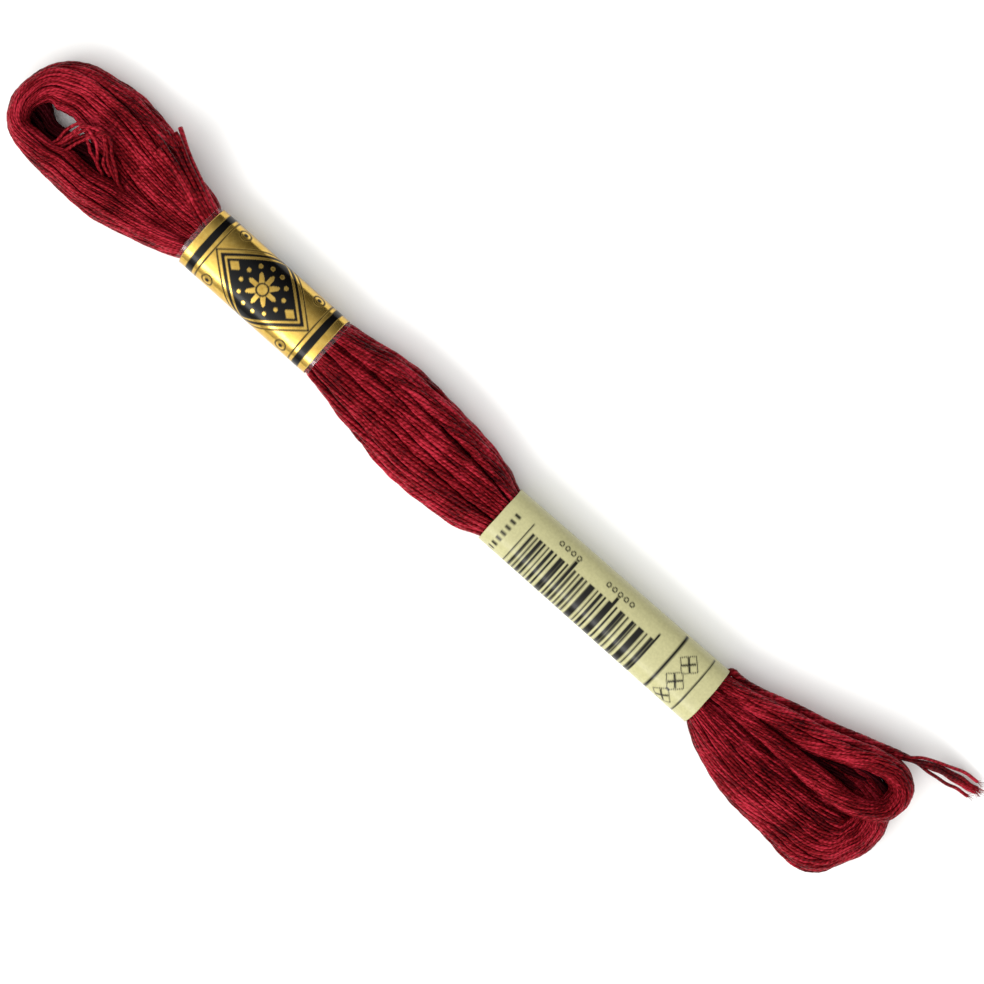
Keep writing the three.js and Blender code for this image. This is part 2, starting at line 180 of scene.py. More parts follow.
# ---- loose ends: points of each route ----
TAIL_END = [
    (49.3, 4.15, 4.2),
    (50.4, 4.15, 4.2),
    (52.2, 4.3, 4.2),
    (54.6, 4.88, 4.3),
    (57.0, 5.65, 4.35),
    (59.4, 6.43, 4.4),
    (62.0, 7.13, 4.45),
    (64.6, 7.78, 4.5),
    (67.2, 8.58, 4.55),
    (69.8, 9.53, 4.6),
    (72.2, 10.3, 4.6),
    (74.6, 11.15, 4.55),
    (77.0, 11.95, 4.3),
    (79.2, 12.85, 3.7),
    (81.4, 13.65, 2.8),
    (83.6, 14.2, 1.8),
    (85.6, 14.6, 1.0),
    (87.3, 14.9, 0.75),
]
TAIL_END_LENGTH = 40.0
TAIL_LEAD_IN = (48.45, 2.8, 4.1)  # where its strands start, under the band
TAIL_TWIST = 6.2  # its strands turn once in this length
TAIL_RING = 0.36  # radius of the ring that they lie on
TAIL_PARTING = (0.62, 0.3)  # share of the route where they start to part, and for how long
TAIL_WAVES = [(9.0, 0.1), (4.0, 0.05)]
STRAND_REST = 0.26  # height of a strand's middle where it lies on the table
# Fibres at each strand's tip. A fibre's length is between two shares of the longest.
FRAY = {"fibres": 9, "length": 1.5, "shares": (0.35, 1.0), "spread": 0.34, "root": 0.1,
        "width": 0.09, "rings": 8}
# How each of its six strands leaves the middle of the route near the tip: sideways and
# up, and how much further than the route it reaches.
TAIL_SPREAD = [
    (1.25, 0.25, 0.2),
    (0.45, 0.35, 0.7),
    (0.1, 0.0, 0.9),
    (-0.15, 0.4, 0.6),
    (-0.4, 0.1, 0.8),
    (-1.35, 0.05, 0.1),
]
# Cut strands that fan out of the first band's mouth: tip, three points between, and root.
HEAD_FAN = [
    [(-63.1, 9.95, 5.6), (-61.2, 8.75, 6.0), (-58.3, 7.2, 6.2), (-51.8, 4.6, 5.7), (-49.0, 4.1, 4.8)],
    [(-62.9, 8.8, 6.9), (-60.6, 7.9, 7.0), (-57.6, 6.4, 6.9), (-51.8, 4.0, 6.3), (-49.0, 3.5, 5.6)],
    [(-63.9, 8.1, 7.3), (-61.4, 7.2, 7.4), (-57.8, 5.7, 7.3), (-51.8, 3.4, 6.7), (-49.0, 2.9, 6.0)],
    [(-64.4, 6.7, 7.5), (-61.8, 6.1, 7.6), (-57.6, 4.9, 7.5), (-51.8, 2.8, 6.95), (-49.0, 2.3, 6.2)],
    [(-63.0, 5.5, 7.4), (-60.8, 5.1, 7.6), (-57.2, 4.1, 7.55), (-51.8, 2.2, 7.05), (-49.0, 1.8, 6.4)],
    [(-62.9, 5.1, 7.0), (-60.4, 4.8, 7.2), (-56.8, 3.6, 7.25), (-51.8, 1.6, 7.1), (-49.0, 1.2, 6.5)],
]
FAN_WIDTH = 1.4  # a cut strand spreads to this many times its width
# A slack loop of single strands that crosses the cleft between the legs: it climbs out
# of the narrow leg, arches over the wide one and dips back into the cleft.
SLACK_LOOP = [
    [(-76.2, -4.4, 4.2), (-75.6, -3.0, 5.3), (-74.9, -1.0, 6.1), (-73.6, 0.35, 6.7), (-71.6, 0.5, 6.9),
     (-69.6, -0.5, 6.6), (-68.2, -1.9, 5.6), (-67.2, -2.9, 4.4)],
    [(-75.6, -4.6, 4.2), (-75.1, -3.2, 5.3), (-74.2, -1.2, 6.2), (-72.9, 0.75, 6.9), (-71.0, 1.35, 7.1),
     (-69.0, 0.3, 6.8), (-67.6, -1.3, 6.1), (-66.0, -2.5, 4.6)],
    [(-75.0, -4.5, 4.4), (-74.4, -2.7, 5.6), (-73.5, -0.3, 6.5), (-72.2, 1.4, 7.1), (-70.2, 1.85, 7.2),
     (-68.3, 0.7, 6.9), (-67.0, -0.7, 6.3), (-64.9, -2.3, 4.8)],
    [(-74.2, -4.4, 4.6), (-73.5, -2.4, 5.8), (-72.6, 0.2, 6.8), (-71.2, 1.9, 7.3), (-69.4, 2.0, 7.3),
     (-67.6, 0.5, 6.9), (-66.0, -1.1, 6.2), (-63.9, -2.3, 4.9)],
    [(-73.3, -4.5, 4.8), (-72.7, -2.2, 5.9), (-71.8, 0.5, 6.9), (-70.2, 1.6, 7.3), (-68.4, 1.2, 7.2),
     (-66.6, -0.3, 6.7), (-64.8, -1.7, 5.9), (-62.4, -2.6, 4.9)],
    [(-74.8, -3.6, 4.0), (-74.0, -2.0, 4.9), (-73.1, -0.9, 5.6), (-71.9, -0.4, 5.9), (-70.6, -0.9, 5.8),
     (-69.4, -1.8, 5.2), (-68.3, -2.6, 4.2)],
]

# ---- bands: x of both ends, middle y and half width there, underside and crown ----
FOIL_BAND = [(-50.5, 0.22, 5.02, 0.0, 7.4), (-26.2, 0.22, 5.02, 0.0, 7.4)]
PALE_BAND = [(8.73, -1.09, 4.73, 0.0, 7.6), (48.9, -0.87, 4.95, 0.0, 7.6)]

# ---- shape of a section ----
# Powers of the superellipse above and below its waist.
POWER_TOP = 2.3
POWER_UNDER = 3.6
WAIST = 0.42  # height of the waist, as a share of the section's
# The lower half reaches this many times down to the underside, which cuts it off flat.
UNDER_REACH = 1.12
GIRTH_POINTS = 145
CORE_EVERY = 6  # a packed core keeps one in so many of these points

# ---- how uneven threads and strands are: least and most, times or plus the even value ----
THREAD_WIDTHS = (0.93, 1.07)
THREAD_SINKS = (-0.1, 0.1)
STRAND_WIDTHS = (0.86, 1.14)
TWIST_LENGTHS = (0.75, 1.4)
WAVE_LENGTHS = (0.75, 1.3)
LOW_SHARE = 0.3  # below this share of the crown a thread sinks but doesn't rise


# =====================================================================================
# Shapes
# =====================================================================================


def running_sum(steps):
    """Sum of the steps before each point of a line, from nought, along the last axis."""
    start = np.zeros((*steps.shape[:-1], 1))
    return np.concatenate([start, np.cumsum(steps, axis=-1)], axis=-1)


def smooth_rows(rows, step):
    """Stations at most step apart along the rows, every column carried by a cubic.

    Between two rows each column follows a Hermite cubic whose slope at a row is the
    harmonic mean of the slopes on both sides, or nought where they differ in sign.
    """
    rows = np.array(rows, float)
    gap = np.hypot(*np.diff(rows[:, :2], axis=0).T)
    at = running_sum(gap)
    rise = np.diff(rows, axis=0) / gap[:, None]
    before, after = rise[:-1], rise[1:]
    near = (2 * gap[1:] + gap[:-1])[:, None]
    far = (gap[1:] + 2 * gap[:-1])[:, None]
    same = before * after > 0
    safe_before = np.where(same, before, 1.0)
    safe_after = np.where(same, after, 1.0)
    inner = np.where(same, (near + far) / (near / safe_before + far / safe_after), 0.0)
    slope = np.vstack([rise[:1], inner, rise[-1:]])
    where = np.linspace(0.0, at[-1], int(math.ceil(at[-1] / step)) + 1)
    row = np.clip(np.searchsorted(at, where, "right") - 1, 0, len(gap) - 1)
    t = ((where - at[row]) / gap[row])[:, None]
    span = gap[row][:, None]
    return (
        rows[row] * (1 + 2 * t) * (1 - t) ** 2
        + slope[row] * span * t * (1 - t) ** 2
        + rows[row + 1] * t**2 * (3 - 2 * t)
        + slope[row + 1] * span * t**2 * (t - 1)
    )


def smooth_route(points, step):
    """A Catmull-Rom curve through the points, sampled about step apart.

    Between points p1 and p2, with neighbours p0 and p3, it is the cubic whose slope at
    p1 is (p2 - p0) / 2 and at p2 is (p3 - p1) / 2.
    """
    points = np.array(points, float)
    padded = np.vstack([2 * points[0] - points[1], points, 2 * points[-1] - points[-2]])
    length = np.linalg.norm(np.diff(points, axis=0), axis=1).sum()
    steps = max(8, int(math.ceil(length / step)))
    where = np.linspace(0, len(points) - 1, steps + 1)
    leg = np.minimum(where.astype(int), len(points) - 2)
    t = (where - leg)[:, None]
    p0, p1, p2, p3 = (padded[leg + k] for k in range(4))
    return 0.5 * (
        2 * p1
        + (p2 - p0) * t
        + (2 * p0 - 5 * p1 + 4 * p2 - p3) * t**2
        + (3 * p1 - p0 - 3 * p2 + p3) * t**3
    )


def superellipse(angle, power):
    """Distance from the middle to |across|^power + |up|^power = 1 at an angle."""
    across, up = np.abs(np.cos(angle)), np.abs(np.sin(angle))
    return (across**power + up**power) ** (-1 / power)


def section_outline(half, under, crown, inset):
    """Outline of each section as across and up, stations by angles.

    It starts under the middle, climbs the outer side, passes the crown and comes down
    the inner side: a superellipse about the waist, flatter below, pulled in by inset
    and never lower than the underside plus that inset.
    """
    angle = np.linspace(-0.5 * np.pi, 1.5 * np.pi, GIRTH_POINTS)
    above = np.sin(angle) > 0
    reach = superellipse(angle, np.where(above, POWER_TOP, POWER_UNDER))
    half, under, crown = half[:, None], under[:, None], crown[:, None]
    waist = under + WAIST * (crown - under)
    rise = np.where(above, crown - waist, UNDER_REACH * (waist - under))
    across = np.cos(angle) * reach * (half - inset)
    up = np.maximum(waist + np.sin(angle) * reach * (rise - inset), under + inset)
    return across, up


def read_girth(across, up, shares):
    """Points and outward normals at the shares of each section's girth."""
    girth = running_sum(np.hypot(np.diff(across, axis=1), np.diff(up, axis=1)))
    girth /= girth[:, -1:]
    out_across = np.gradient(up, axis=1)
    out_up = -np.gradient(across, axis=1)
    columns = (across, up, out_across, out_up)
    return [
        np.stack([np.interp(s, g, c) for s, g, c in zip(shares.T, girth, column)], axis=1)
        for column in columns
    ]


def drift(rng, lines, along, waves):
    """Slow sideways drift of each line: a sum of sines of random phase and stretch."""
    total = np.zeros((lines, along.shape[-1]))
    for length, size in waves:
        phase = rng.uniform(0, 2 * np.pi, (lines, 1))
        stretch = rng.uniform(*WAVE_LENGTHS, (lines, 1))
        total += size * np.sin(2 * np.pi * along / (length * stretch) + phase)
    return total


def unit(vectors):
    """The vectors at length one."""
    return vectors / np.maximum(np.linalg.norm(vectors, axis=-1, keepdims=True), 1e-9)


def path_length(stations):
    """Length along x and y to each station."""
    return running_sum(np.hypot(np.diff(stations[:, 0]), np.diff(stations[:, 1])))


def lengths_along(lines):
    """Length along each line to each of its points."""
    return running_sum(np.linalg.norm(np.diff(lines, axis=1), axis=-1))


def frame_along(lines, up):
    """Directions along each line, across it and square to both, the last one about up."""
    tangent = unit(np.gradient(lines, axis=-2))
    across = unit(np.cross(up, tangent))
    return tangent, across, np.cross(tangent, across)


def tube_rings(core, across, over, radius, spin):
    """Points at the angles of spin on circles of this radius about the core points."""
    ring = np.cos(spin)[..., None] * across[..., None, :]
    ring = ring + np.sin(spin)[..., None] * over[..., None, :]
    return core[..., None, :] + ring * radius[..., None, None]


def wound_lines(rows, layer, seed):
    """Middle lines, normals and widths of the threads of one wound run.

    Thread i keeps to the share (i + 0.5) / threads of each section's girth, plus its
    own uneven spacing and a slow drift. It is pulled in by the layer's inset, and sinks
    or rises a little as it drifts.
    """
    rng = np.random.default_rng(seed)
    stations = smooth_rows(rows, layer["step"])
    along = path_length(stations)
    x, y, facing, half, under, crown = stations.T
    threads = layer["threads"]
    across, up = section_outline(half, under, crown, layer["inset"])
    spacing = rng.uniform(-layer["uneven"], layer["uneven"], (threads, 1))
    shares = np.arange(threads)[:, None] + 0.5 + spacing
    shares = (shares + drift(rng, threads, along, layer["waves"])) / threads
    v, z, out_v, out_z = read_girth(across, up, shares % 1.0)
    length = np.hypot(out_v, out_z)
    out_v, out_z = out_v / length, out_z / length
    sink = drift(rng, threads, along, layer["sink"]) + rng.uniform(*THREAD_SINKS, (threads, 1))
    sink = np.where(z < crown * LOW_SHARE, np.minimum(sink, 0.0), sink)
    v, z = v + out_v * sink, z + out_z * sink
    ds = np.hypot(np.diff(across, axis=1), np.diff(up, axis=1)).sum(axis=1)
    width = np.clip(ds / threads * layer["fill"], *layer["width"])[None, :]
    width = width * rng.uniform(*THREAD_WIDTHS, (threads, 1))
    turn = np.radians(facing)
    middle = np.stack([x + np.cos(turn) * v, y + np.sin(turn) * v, z], axis=-1)
    normal = np.stack([np.cos(turn) * out_v, np.sin(turn) * out_v, out_z], axis=-1)
    return middle, normal, width


def twisted_strands(middle, normal, width, thread, seed):
    """Tubes of the strands that are laid round each thread.

    Strand k follows a helix about the middle line: middle + r (cos a * across +
    flat * sin a * up), where a = 2 pi (k / strands - length / twist + a random start),
    with the twist a little longer or shorter on each thread, and r is about half of the
    thread's width less half of the strand's. The tube round it is a circle of the
    strand's width, turned with the helix and never below the table.
    Returns points (tubes, rings, sides, 3) and the length along each ring.
    """
    rng = np.random.default_rng(seed)
    _, across, over = frame_along(middle, normal)
    across, over = across[:, :, None], over[:, :, None]
    along = lengths_along(middle)
    strands, sides = thread["strands"], thread["sides"]
    start = rng.uniform(0, 1, (len(middle), 1, 1))
    stretch = rng.uniform(*TWIST_LENGTHS, (len(middle), 1, 1))
    lay = np.arange(strands) / strands - along[:, :, None] / (thread["twist"] * stretch)
    angle = 2 * np.pi * (lay + start)
    uneven = rng.uniform(*STRAND_WIDTHS, (len(middle), 1, strands))
    strand_width = thread["share"] * width[:, :, None] * uneven
    radius = (width[:, :, None] - strand_width) / 2
    loose = 1 + thread["loose"] * rng.standard_normal((len(middle), 1, strands))
    wide = (radius * loose * np.cos(angle))[..., None] * across
    tall = (radius * loose * thread["flat"] * np.sin(angle))[..., None] * over
    core = middle[:, :, None] + wide + tall
    spin = 2 * np.pi * np.arange(sides) / sides + angle[..., None]
    points = tube_rings(core, across, over, strand_width / 2, spin)
    points = points.transpose(0, 2, 1, 3, 4).reshape(-1, middle.shape[1], sides, 3)
    points[..., 2] = np.maximum(points[..., 2], 0.0)
    return points, np.repeat(along, strands, axis=0)


def single_strands(routes, width, sides, taper=0.0):
    """Round tubes of one strand each along the routes (tubes, rings, 3).

    The taper is the share of the radius that is gone at the end of each.
    """
    _, across, over = frame_along(routes, UP)
    along = lengths_along(routes)
    share = along / along[:, -1:]
    radius = width / 2 * (1 - taper * share)
    spin = 2 * np.pi * np.arange(sides) / sides
    return tube_rings(routes, across, over, radius, spin), along


def tube_mesh(name, parts, seed):
    """One mesh of closed tubes, from pairs of ring points and lengths along them.

    Neighbouring rings are joined by quads and both ends are capped. The UV map holds
    the length along the tube in millimetres and the share of the way round it, and the
    attribute tone holds one random number for each tube.
    """
    rng = np.random.default_rng(seed)
    points, loops, sizes, uvs, tones = [], [], [], [], []
    first = 0
    for rings, along in parts:
        tubes, steps, sides, _ = rings.shape
        base = first + np.arange(tubes)[:, None, None] * steps * sides
        ring = np.arange(steps - 1)[None, :, None] * sides
        side = np.arange(sides)[None, None, :]
        near, next_near = base + ring + side, base + ring + (side + 1) % sides
        quads = np.stack([near, next_near, next_near + sides, near + sides], axis=-1)
        start = base[:, :, 0] + np.arange(sides)[::-1]
        end = base[:, :, 0] + (steps - 1) * sides + np.arange(sides)
        loops += [quads.ravel(), start.ravel(), end.ravel()]
        sizes += [np.full(quads.size // 4, 4), np.full(2 * tubes, sides)]
        u0 = np.broadcast_to(along[:, :-1, None], near.shape)
        u1 = np.broadcast_to(along[:, 1:, None], near.shape)
        v0 = np.broadcast_to(side / sides, near.shape)
        v1 = v0 + 1 / sides
        quad_uv = np.stack([u0, v0, u0, v1, u1, v1, u1, v0], axis=-1)
        cap_v = np.broadcast_to(np.arange(sides) / sides, (tubes, sides))
        start_uv = np.stack([np.repeat(along[:, :1], sides, axis=1), cap_v[:, ::-1]], axis=-1)
        end_uv = np.stack([np.repeat(along[:, -1:], sides, axis=1), cap_v], axis=-1)
        uvs += [quad_uv.ravel(), start_uv.ravel(), end_uv.ravel()]
        points.append(rings.reshape(-1, 3))
        tones.append(np.repeat(rng.uniform(0, 1, tubes), steps * sides))
        first += tubes * steps * sides
    return build_mesh(
        name,
        np.concatenate(points),
        np.concatenate(loops),
        np.concatenate(sizes),
        np.concatenate(uvs),
        {"tone": np.concatenate(tones)},
    )


def build_mesh(name, points, loops, sizes, uvs, fields):
    """An object from points in the tables' millimetres, polygons, UVs and attributes."""
    mesh = bpy.data.meshes.new(name)
    mesh.vertices.add(len(points))
    mesh.vertices.foreach_set("co", ((points - MIDDLE) * MM).astype(np.float32).ravel())
    mesh.loops.add(len(loops))
    mesh.loops.foreach_set("vertex_index", loops.astype(np.int32))
    mesh.polygons.add(len(sizes))
    mesh.polygons.foreach_set("loop_start", (np.cumsum(sizes) - sizes).astype(np.int32))
    mesh.polygons.foreach_set("use_smooth", np.ones(len(sizes), bool))
    layer = mesh.uv_layers.new(name="lay")
    layer.data.foreach_set("uv", uvs.astype(np.float32))
    for field, values in fields.items():
        attribute = mesh.attributes.new(field, "FLOAT", "POINT")
        attribute.data.foreach_set("value", values.astype(np.float32))
    mesh.validate()
    mesh.update()
    piece = bpy.data.objects.new(name, mesh)
    bpy.context.scene.collection.objects.link(piece)
    return piece


def finish_piece(piece, slot, material, *nodes):
    """Gives the piece its material and its place on the part, and hides the imported parts that it
    stands for.
    """
    piece.data.materials.append(material)
    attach(piece, "root")
    if nodes:
        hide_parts(*nodes)
    return piece


def core_rings(rows, inset, step):
    """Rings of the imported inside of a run: each section's outline, pulled in.

    They are turned the way that makes the faces between them look outwards.
    """
    stations = smooth_rows(rows, step)
    x, y, facing, half, under, crown = stations.T
    across, up = section_outline(half, under, crown, inset)
    turn = np.radians(facing)[:, None]
    ring = np.stack([x[:, None] + np.cos(turn) * across, y[:, None] + np.sin(turn) * across, up], -1)
    ring = ring[:, ::-CORE_EVERY][:, 1:]
    flow = np.gradient(stations[:, :2], axis=0)
    side = np.cos(turn[:, 0]) * flow[:, 1] - np.sin(turn[:, 0]) * flow[:, 0]
    if side.mean() < 0:
        ring = ring[:, ::-1]
    return ring[None], path_length(stations)[None]


# =====================================================================================
# Finishes
# =====================================================================================


def linear(hex_colour):
    """A hex sRGB colour as linear red, green, blue and alpha."""
    value = hex_colour.lstrip("#")
    srgb = np.array([int(value[k : k + 2], 16) for k in (0, 2, 4)]) / 255
    flat = np.where(srgb <= 0.04045, srgb / 12.92, ((srgb + 0.055) / 1.055) ** 2.4)
    return (*flat.tolist(), 1.0)


def fill_inputs(tree, node, values):
    """Sets the node's inputs, or links those whose value is another node's output."""
    for name, value in values.items():
        if isinstance(value, bpy.types.NodeSocket):
            tree.links.new(value, node.inputs[name])
        else:
            node.inputs[name].default_value = value


def add_node(tree, kind, inputs, **settings):
    """Adds a node, sets its properties, and fills or links its inputs."""
    node = tree.nodes.new("ShaderNode" + kind)
    for name, value in settings.items():
        setattr(node, name, value)
    fill_inputs(tree, node, inputs)
    return node


def set_ramp(node, stops):
    """Places a colour ramp's stops, given as position and linear colour."""
    ramp = node.color_ramp
    while len(ramp.elements) > 1:
        ramp.elements.remove(ramp.elements[-1])
    ramp.elements[0].position, ramp.elements[0].color = stops[0]
    for position, colour in stops[1:]:
        ramp.elements.new(position).color = colour
    return node


def new_material(name):
    """A node material, its tree and the one shader that its surface shows."""
    material = bpy.data.materials.new(name)
    material.use_nodes = True
    tree = material.node_tree
    tree.nodes.clear()
    shader = add_node(tree, "BsdfPrincipled", {})
    add_node(tree, "OutputMaterial", {"Surface": shader.outputs["BSDF"]})
    return material, tree, shader


# Sizes in millimetres that the patterns are worked out from.
PLY_PITCH = 0.75  # a ply ridge every so much of a strand
DYE_PATCH = 5.0  # width of a patch of lighter or darker dye
FOIL_GRAIN = 0.7
FOIL_CREASES = 4.0
PAPER_MOTTLE = 0.4
BOARD_TOOTH = 1.0
PLY_STARTS = 7.0  # turns of a ridge over which the strands' starts are spread
# Fibre noise: stretch along the strand and round it, and scale after that.
FIBRE_STRETCH = (0.75, 4.0, 1.0)
FIBRE_SCALE = 2.2
FIBRE_HEIGHT = 3.0  # weight of the fibres in the relief, where the ridges have one
# What each pattern adds to the shade, what is taken off the sum, and where the dark,
# the middle and the light colour lie on it.
TONE_WEIGHT = 0.4
# The fibre streaks' share of the colour: fibre tone and painted highlight glints.
FIBRE_AND_GLINT_WEIGHT = 1.3
# The ridges' share of the colour: painted shade in the ply grooves, painted highlight on the crests.
RIDGE_PAINTED_SHADE_WEIGHT = 0.09
SHADE_OFFSET = -0.85
SHADE_STOPS = (0.15, 0.5, 0.9)
MOTTLE_STOPS = (0.3, 0.7)
FOIL_ROUGHNESS = (0.12, 0.16)  # added where it is creased, and everywhere


def mercerised_cotton(name, colours):
    """Mercerised cotton floss: dyed, combed cotton with a silky, pearly gloss.

    Each strand is two plies twisted together, so its surface carries slanting ridges,
    and threads differ a little in shade. The gloss is broad and tinted by the dye.
    Its colour ramp runs from painted shade, the dark of the grooves, through the dye to a
    painted highlight, and fibre streaks and ply ridges move the colour along it.
    """
    material, tree, shader = new_material(name)
    lay = add_node(tree, "UVMap", {}, uv_map="lay").outputs["UV"]
    tone = add_node(tree, "Attribute", {}, attribute_name="tone").outputs["Fac"]
    place = add_node(tree, "TexCoord", {}).outputs["Object"]
    split = add_node(tree, "SeparateXYZ", {"Vector": lay})
    # One ply ridge every PLY_PITCH, slanting once round the strand, and starting at
    # another place on each strand. Besides the relief it paints shade into each groove and
    # a faint highlight on each crest.
    start = add_node(tree, "Math", {0: tone, 1: PLY_STARTS, 2: split.outputs["Y"]},
                     operation="MULTIPLY_ADD")
    ply = add_node(tree, "Math", {0: split.outputs["X"], 1: 1 / PLY_PITCH, 2: start.outputs[0]},
                   operation="MULTIPLY_ADD")
    turn = add_node(tree, "Math", {0: ply.outputs[0], 1: 2 * math.pi}, operation="MULTIPLY")
    ridge = add_node(tree, "Math", {0: turn.outputs[0]}, operation="SINE").outputs[0]
    # Fibres: noise stretched along the strand. In the colour its light streaks are painted highlights,
    # short pearly glints, besides the fibres' own tone.
    stretch = add_node(tree, "Mapping", {"Vector": lay, "Scale": FIBRE_STRETCH})
    fibres = add_node(tree, "TexNoise", {"Vector": stretch.outputs["Vector"],
                                         "Scale": FIBRE_SCALE, "Detail": 3.0}).outputs["Fac"]
    # Dye and wear: soft patches about DYE_PATCH across.
    patches = add_node(tree, "TexNoise", {"Vector": place, "Scale": 1 / (DYE_PATCH * MM),
                                          "Detail": 2.0})
    shade = patches.outputs["Fac"]
    for source, weight in ((tone, TONE_WEIGHT), (fibres, FIBRE_AND_GLINT_WEIGHT), (ridge, RIDGE_PAINTED_SHADE_WEIGHT)):
        added = add_node(tree, "Math", {0: source, 1: weight, 2: shade}, operation="MULTIPLY_ADD")
        shade = added.outputs[0]
    centred = add_node(tree, "Math", {0: shade, 1: SHADE_OFFSET}, operation="ADD")
    ramp = add_node(tree, "ValToRGB", {"Fac": centred.outputs[0]})
    set_ramp(ramp, [(at, linear(colour)) for at, colour in zip(SHADE_STOPS, colours)])
    height = add_node(tree, "Math", {0: fibres, 1: FIBRE_HEIGHT, 2: ridge},
                      operation="MULTIPLY_ADD")
    bump = add_node(tree, "Bump", {"Height": height.outputs[0], "Strength": 0.4,
                                   "Distance": 0.05 * MM})
    fill_inputs(tree, shader, {
        "Base Color": ramp.outputs["Color"], "Normal": bump.outputs["Normal"],
        "Roughness": 0.42, "IOR": 1.45, "Specular IOR Level": 0.35,
        "Specular Tint": linear("#D8606C"),
    })
    return material


def printed_sheet(tree, mottle, plain, ink, inside):
    """Colour of a sheet: two mottled plain shades, ink where printed, another inside.

    Also returns the attributes that say where it is printed and where it is inside.
    """
    fields = [add_node(tree, "Attribute", {}, attribute_name=name).outputs["Fac"]
              for name in ("ink", "inside")]
    ramp = add_node(tree, "ValToRGB", {"Fac": mottle})
    set_ramp(ramp, [(at, linear(shade)) for at, shade in zip(MOTTLE_STOPS, plain)])
    colour = ramp.outputs["Color"]
    for field, over in zip(fields, (ink, inside)):
        mixed = add_node(tree, "Mix", {"Factor": field, 6: colour, 7: linear(over)},
                         data_type="RGBA")
        colour = mixed.outputs[2]
    return colour, fields


def printed_foil():
    """Gold foil paper, printed black, under a clear gloss film.

    The foil mirrors softly and is duller where it has creased. The ink attribute, one
    where it is printed, turns it into a black that keeps only the film's gloss.
    """
    material, tree, shader = new_material("gold_foil_paper")
    place = add_node(tree, "TexCoord", {}).outputs["Object"]
    grain, creases = (
        add_node(tree, "TexNoise", {"Vector": place, "Scale": 1 / (size * MM), "Detail": detail})
        for size, detail in ((FOIL_GRAIN, 4.0), (FOIL_CREASES, 2.0))
    )
    colour, fields = printed_sheet(tree, grain.outputs["Fac"], ("#C49F4A", "#D8B55E"),
                                   "#020202", "#E9E6DC")
    bare = add_node(tree, "Math", {0: fields[0], 1: fields[1]}, operation="ADD", use_clamp=True)
    metal = add_node(tree, "Math", {0: 1.0, 1: bare.outputs[0]}, operation="SUBTRACT",
                     use_clamp=True)
    creased, everywhere = FOIL_ROUGHNESS
    rough = add_node(tree, "Math", {0: creases.outputs["Fac"], 1: creased, 2: everywhere},
                     operation="MULTIPLY_ADD")
    bump = add_node(tree, "Bump", {"Height": creases.outputs["Fac"], "Strength": 0.25,
                                   "Distance": 0.12 * MM})
    fill_inputs(tree, shader, {
        "Base Color": colour, "Metallic": metal.outputs[0], "Roughness": rough.outputs[0],
        "Normal": bump.outputs["Normal"], "Specular IOR Level": 0.2,
    })
    return material


def coated_paper():
    """Pale olive label paper, machine coated and printed in one dark ink.

    The coating gives it a satin gloss, its fibres a faint mottle, and it is plain
    white-grey inside.
    """
    material, tree, shader = new_material("coated_label_paper")
    place = add_node(tree, "TexCoord", {}).outputs["Object"]
    fibres = add_node(tree, "TexNoise", {"Vector": place, "Scale": 1 / (PAPER_MOTTLE * MM),
                                         "Detail": 5.0})
    colour, _ = printed_sheet(tree, fibres.outputs["Fac"], ("#ABA77C", "#B7B385"),
                              "#0D0C07", "#DCDACB")
    bump = add_node(tree, "Bump", {"Height": fibres.outputs["Fac"], "Strength": 0.12,
                                   "Distance": 0.05 * MM})
    fill_inputs(tree, shader, {
        "Base Color": colour, "Roughness": 0.28, "IOR": 1.5, "Specular IOR Level": 0.22,
        "Normal": bump.outputs["Normal"],
    })
    return material


def clear_film():
    """Clear polypropylene film, drawn thin: only its gloss shows over what it covers.

    The alpha is the share of light that its two faces send back, and that share is a
    plain mirror of the surroundings.
    """
    material, tree, shader = new_material("clear_film")
    fill_inputs(tree, shader, {"Base Color": linear("#FFFFFF"), "Metallic": 1.0,
                               "Roughness": 0.12, "Alpha": 0.03})
    return material


def matt_board(colour):
    """White matt board, calendered paper fibre: even, with a trace of tooth."""
    material, tree, shader = new_material("matt_white_board")
    place = add_node(tree, "TexCoord", {}).outputs["Object"]
    tooth = add_node(tree, "TexNoise", {"Vector": place, "Scale": 1 / (BOARD_TOOTH * MM)})
    bump = add_node(tree, "Bump", {"Height": tooth.outputs["Fac"], "Strength": 0.03,
                                   "Distance": 0.05 * MM})
    fill_inputs(tree, shader, {"Base Color": (*colour, 1.0), "Roughness": 0.9,
                               "Specular IOR Level": 0.1, "Normal": bump.outputs["Normal"]})
    return material


# Floss colours, dark, middle and light: the dark one is painted shade for the grooves, the middle one
# the dye, the light one a painted highlight for the glints.
FLOSS_SHADE_DYE_HIGHLIGHT = ("#2A0205", "#6A0A10", "#B22A3A")
# Painted shade: the floss colours made darker, for the hank's packed inside and the threads deep in its
# hollows.
PAINTED_SHADE_FLOSS_COLOURS = ("#1C0204", "#2E040A", "#420810")


def floss_material():
    """The floss finish, made once."""
    name = "mercerised_cotton_floss"
    return bpy.data.materials.get(name) or mercerised_cotton(name, FLOSS_SHADE_DYE_HIGHLIGHT)


def painted_shade_floss_material():
    """The same cotton in darker colours, painted shade, for threads deep inside the hank, where hardly
    any light comes back.
    """
    name = "painted_shade_cotton_floss"
    return bpy.data.materials.get(name) or mercerised_cotton(name, PAINTED_SHADE_FLOSS_COLOURS)


# =====================================================================================
# Bands
# =====================================================================================

BAND_POWER = 2.6
BAND_UNDER_REACH = 1.05
PAPER = 0.12
LAP = 0.2  # share of the girth that the two ends of a band's paper overlap
LAP_TUCK = 1.6  # how far the end underneath is drawn in, in paper thicknesses
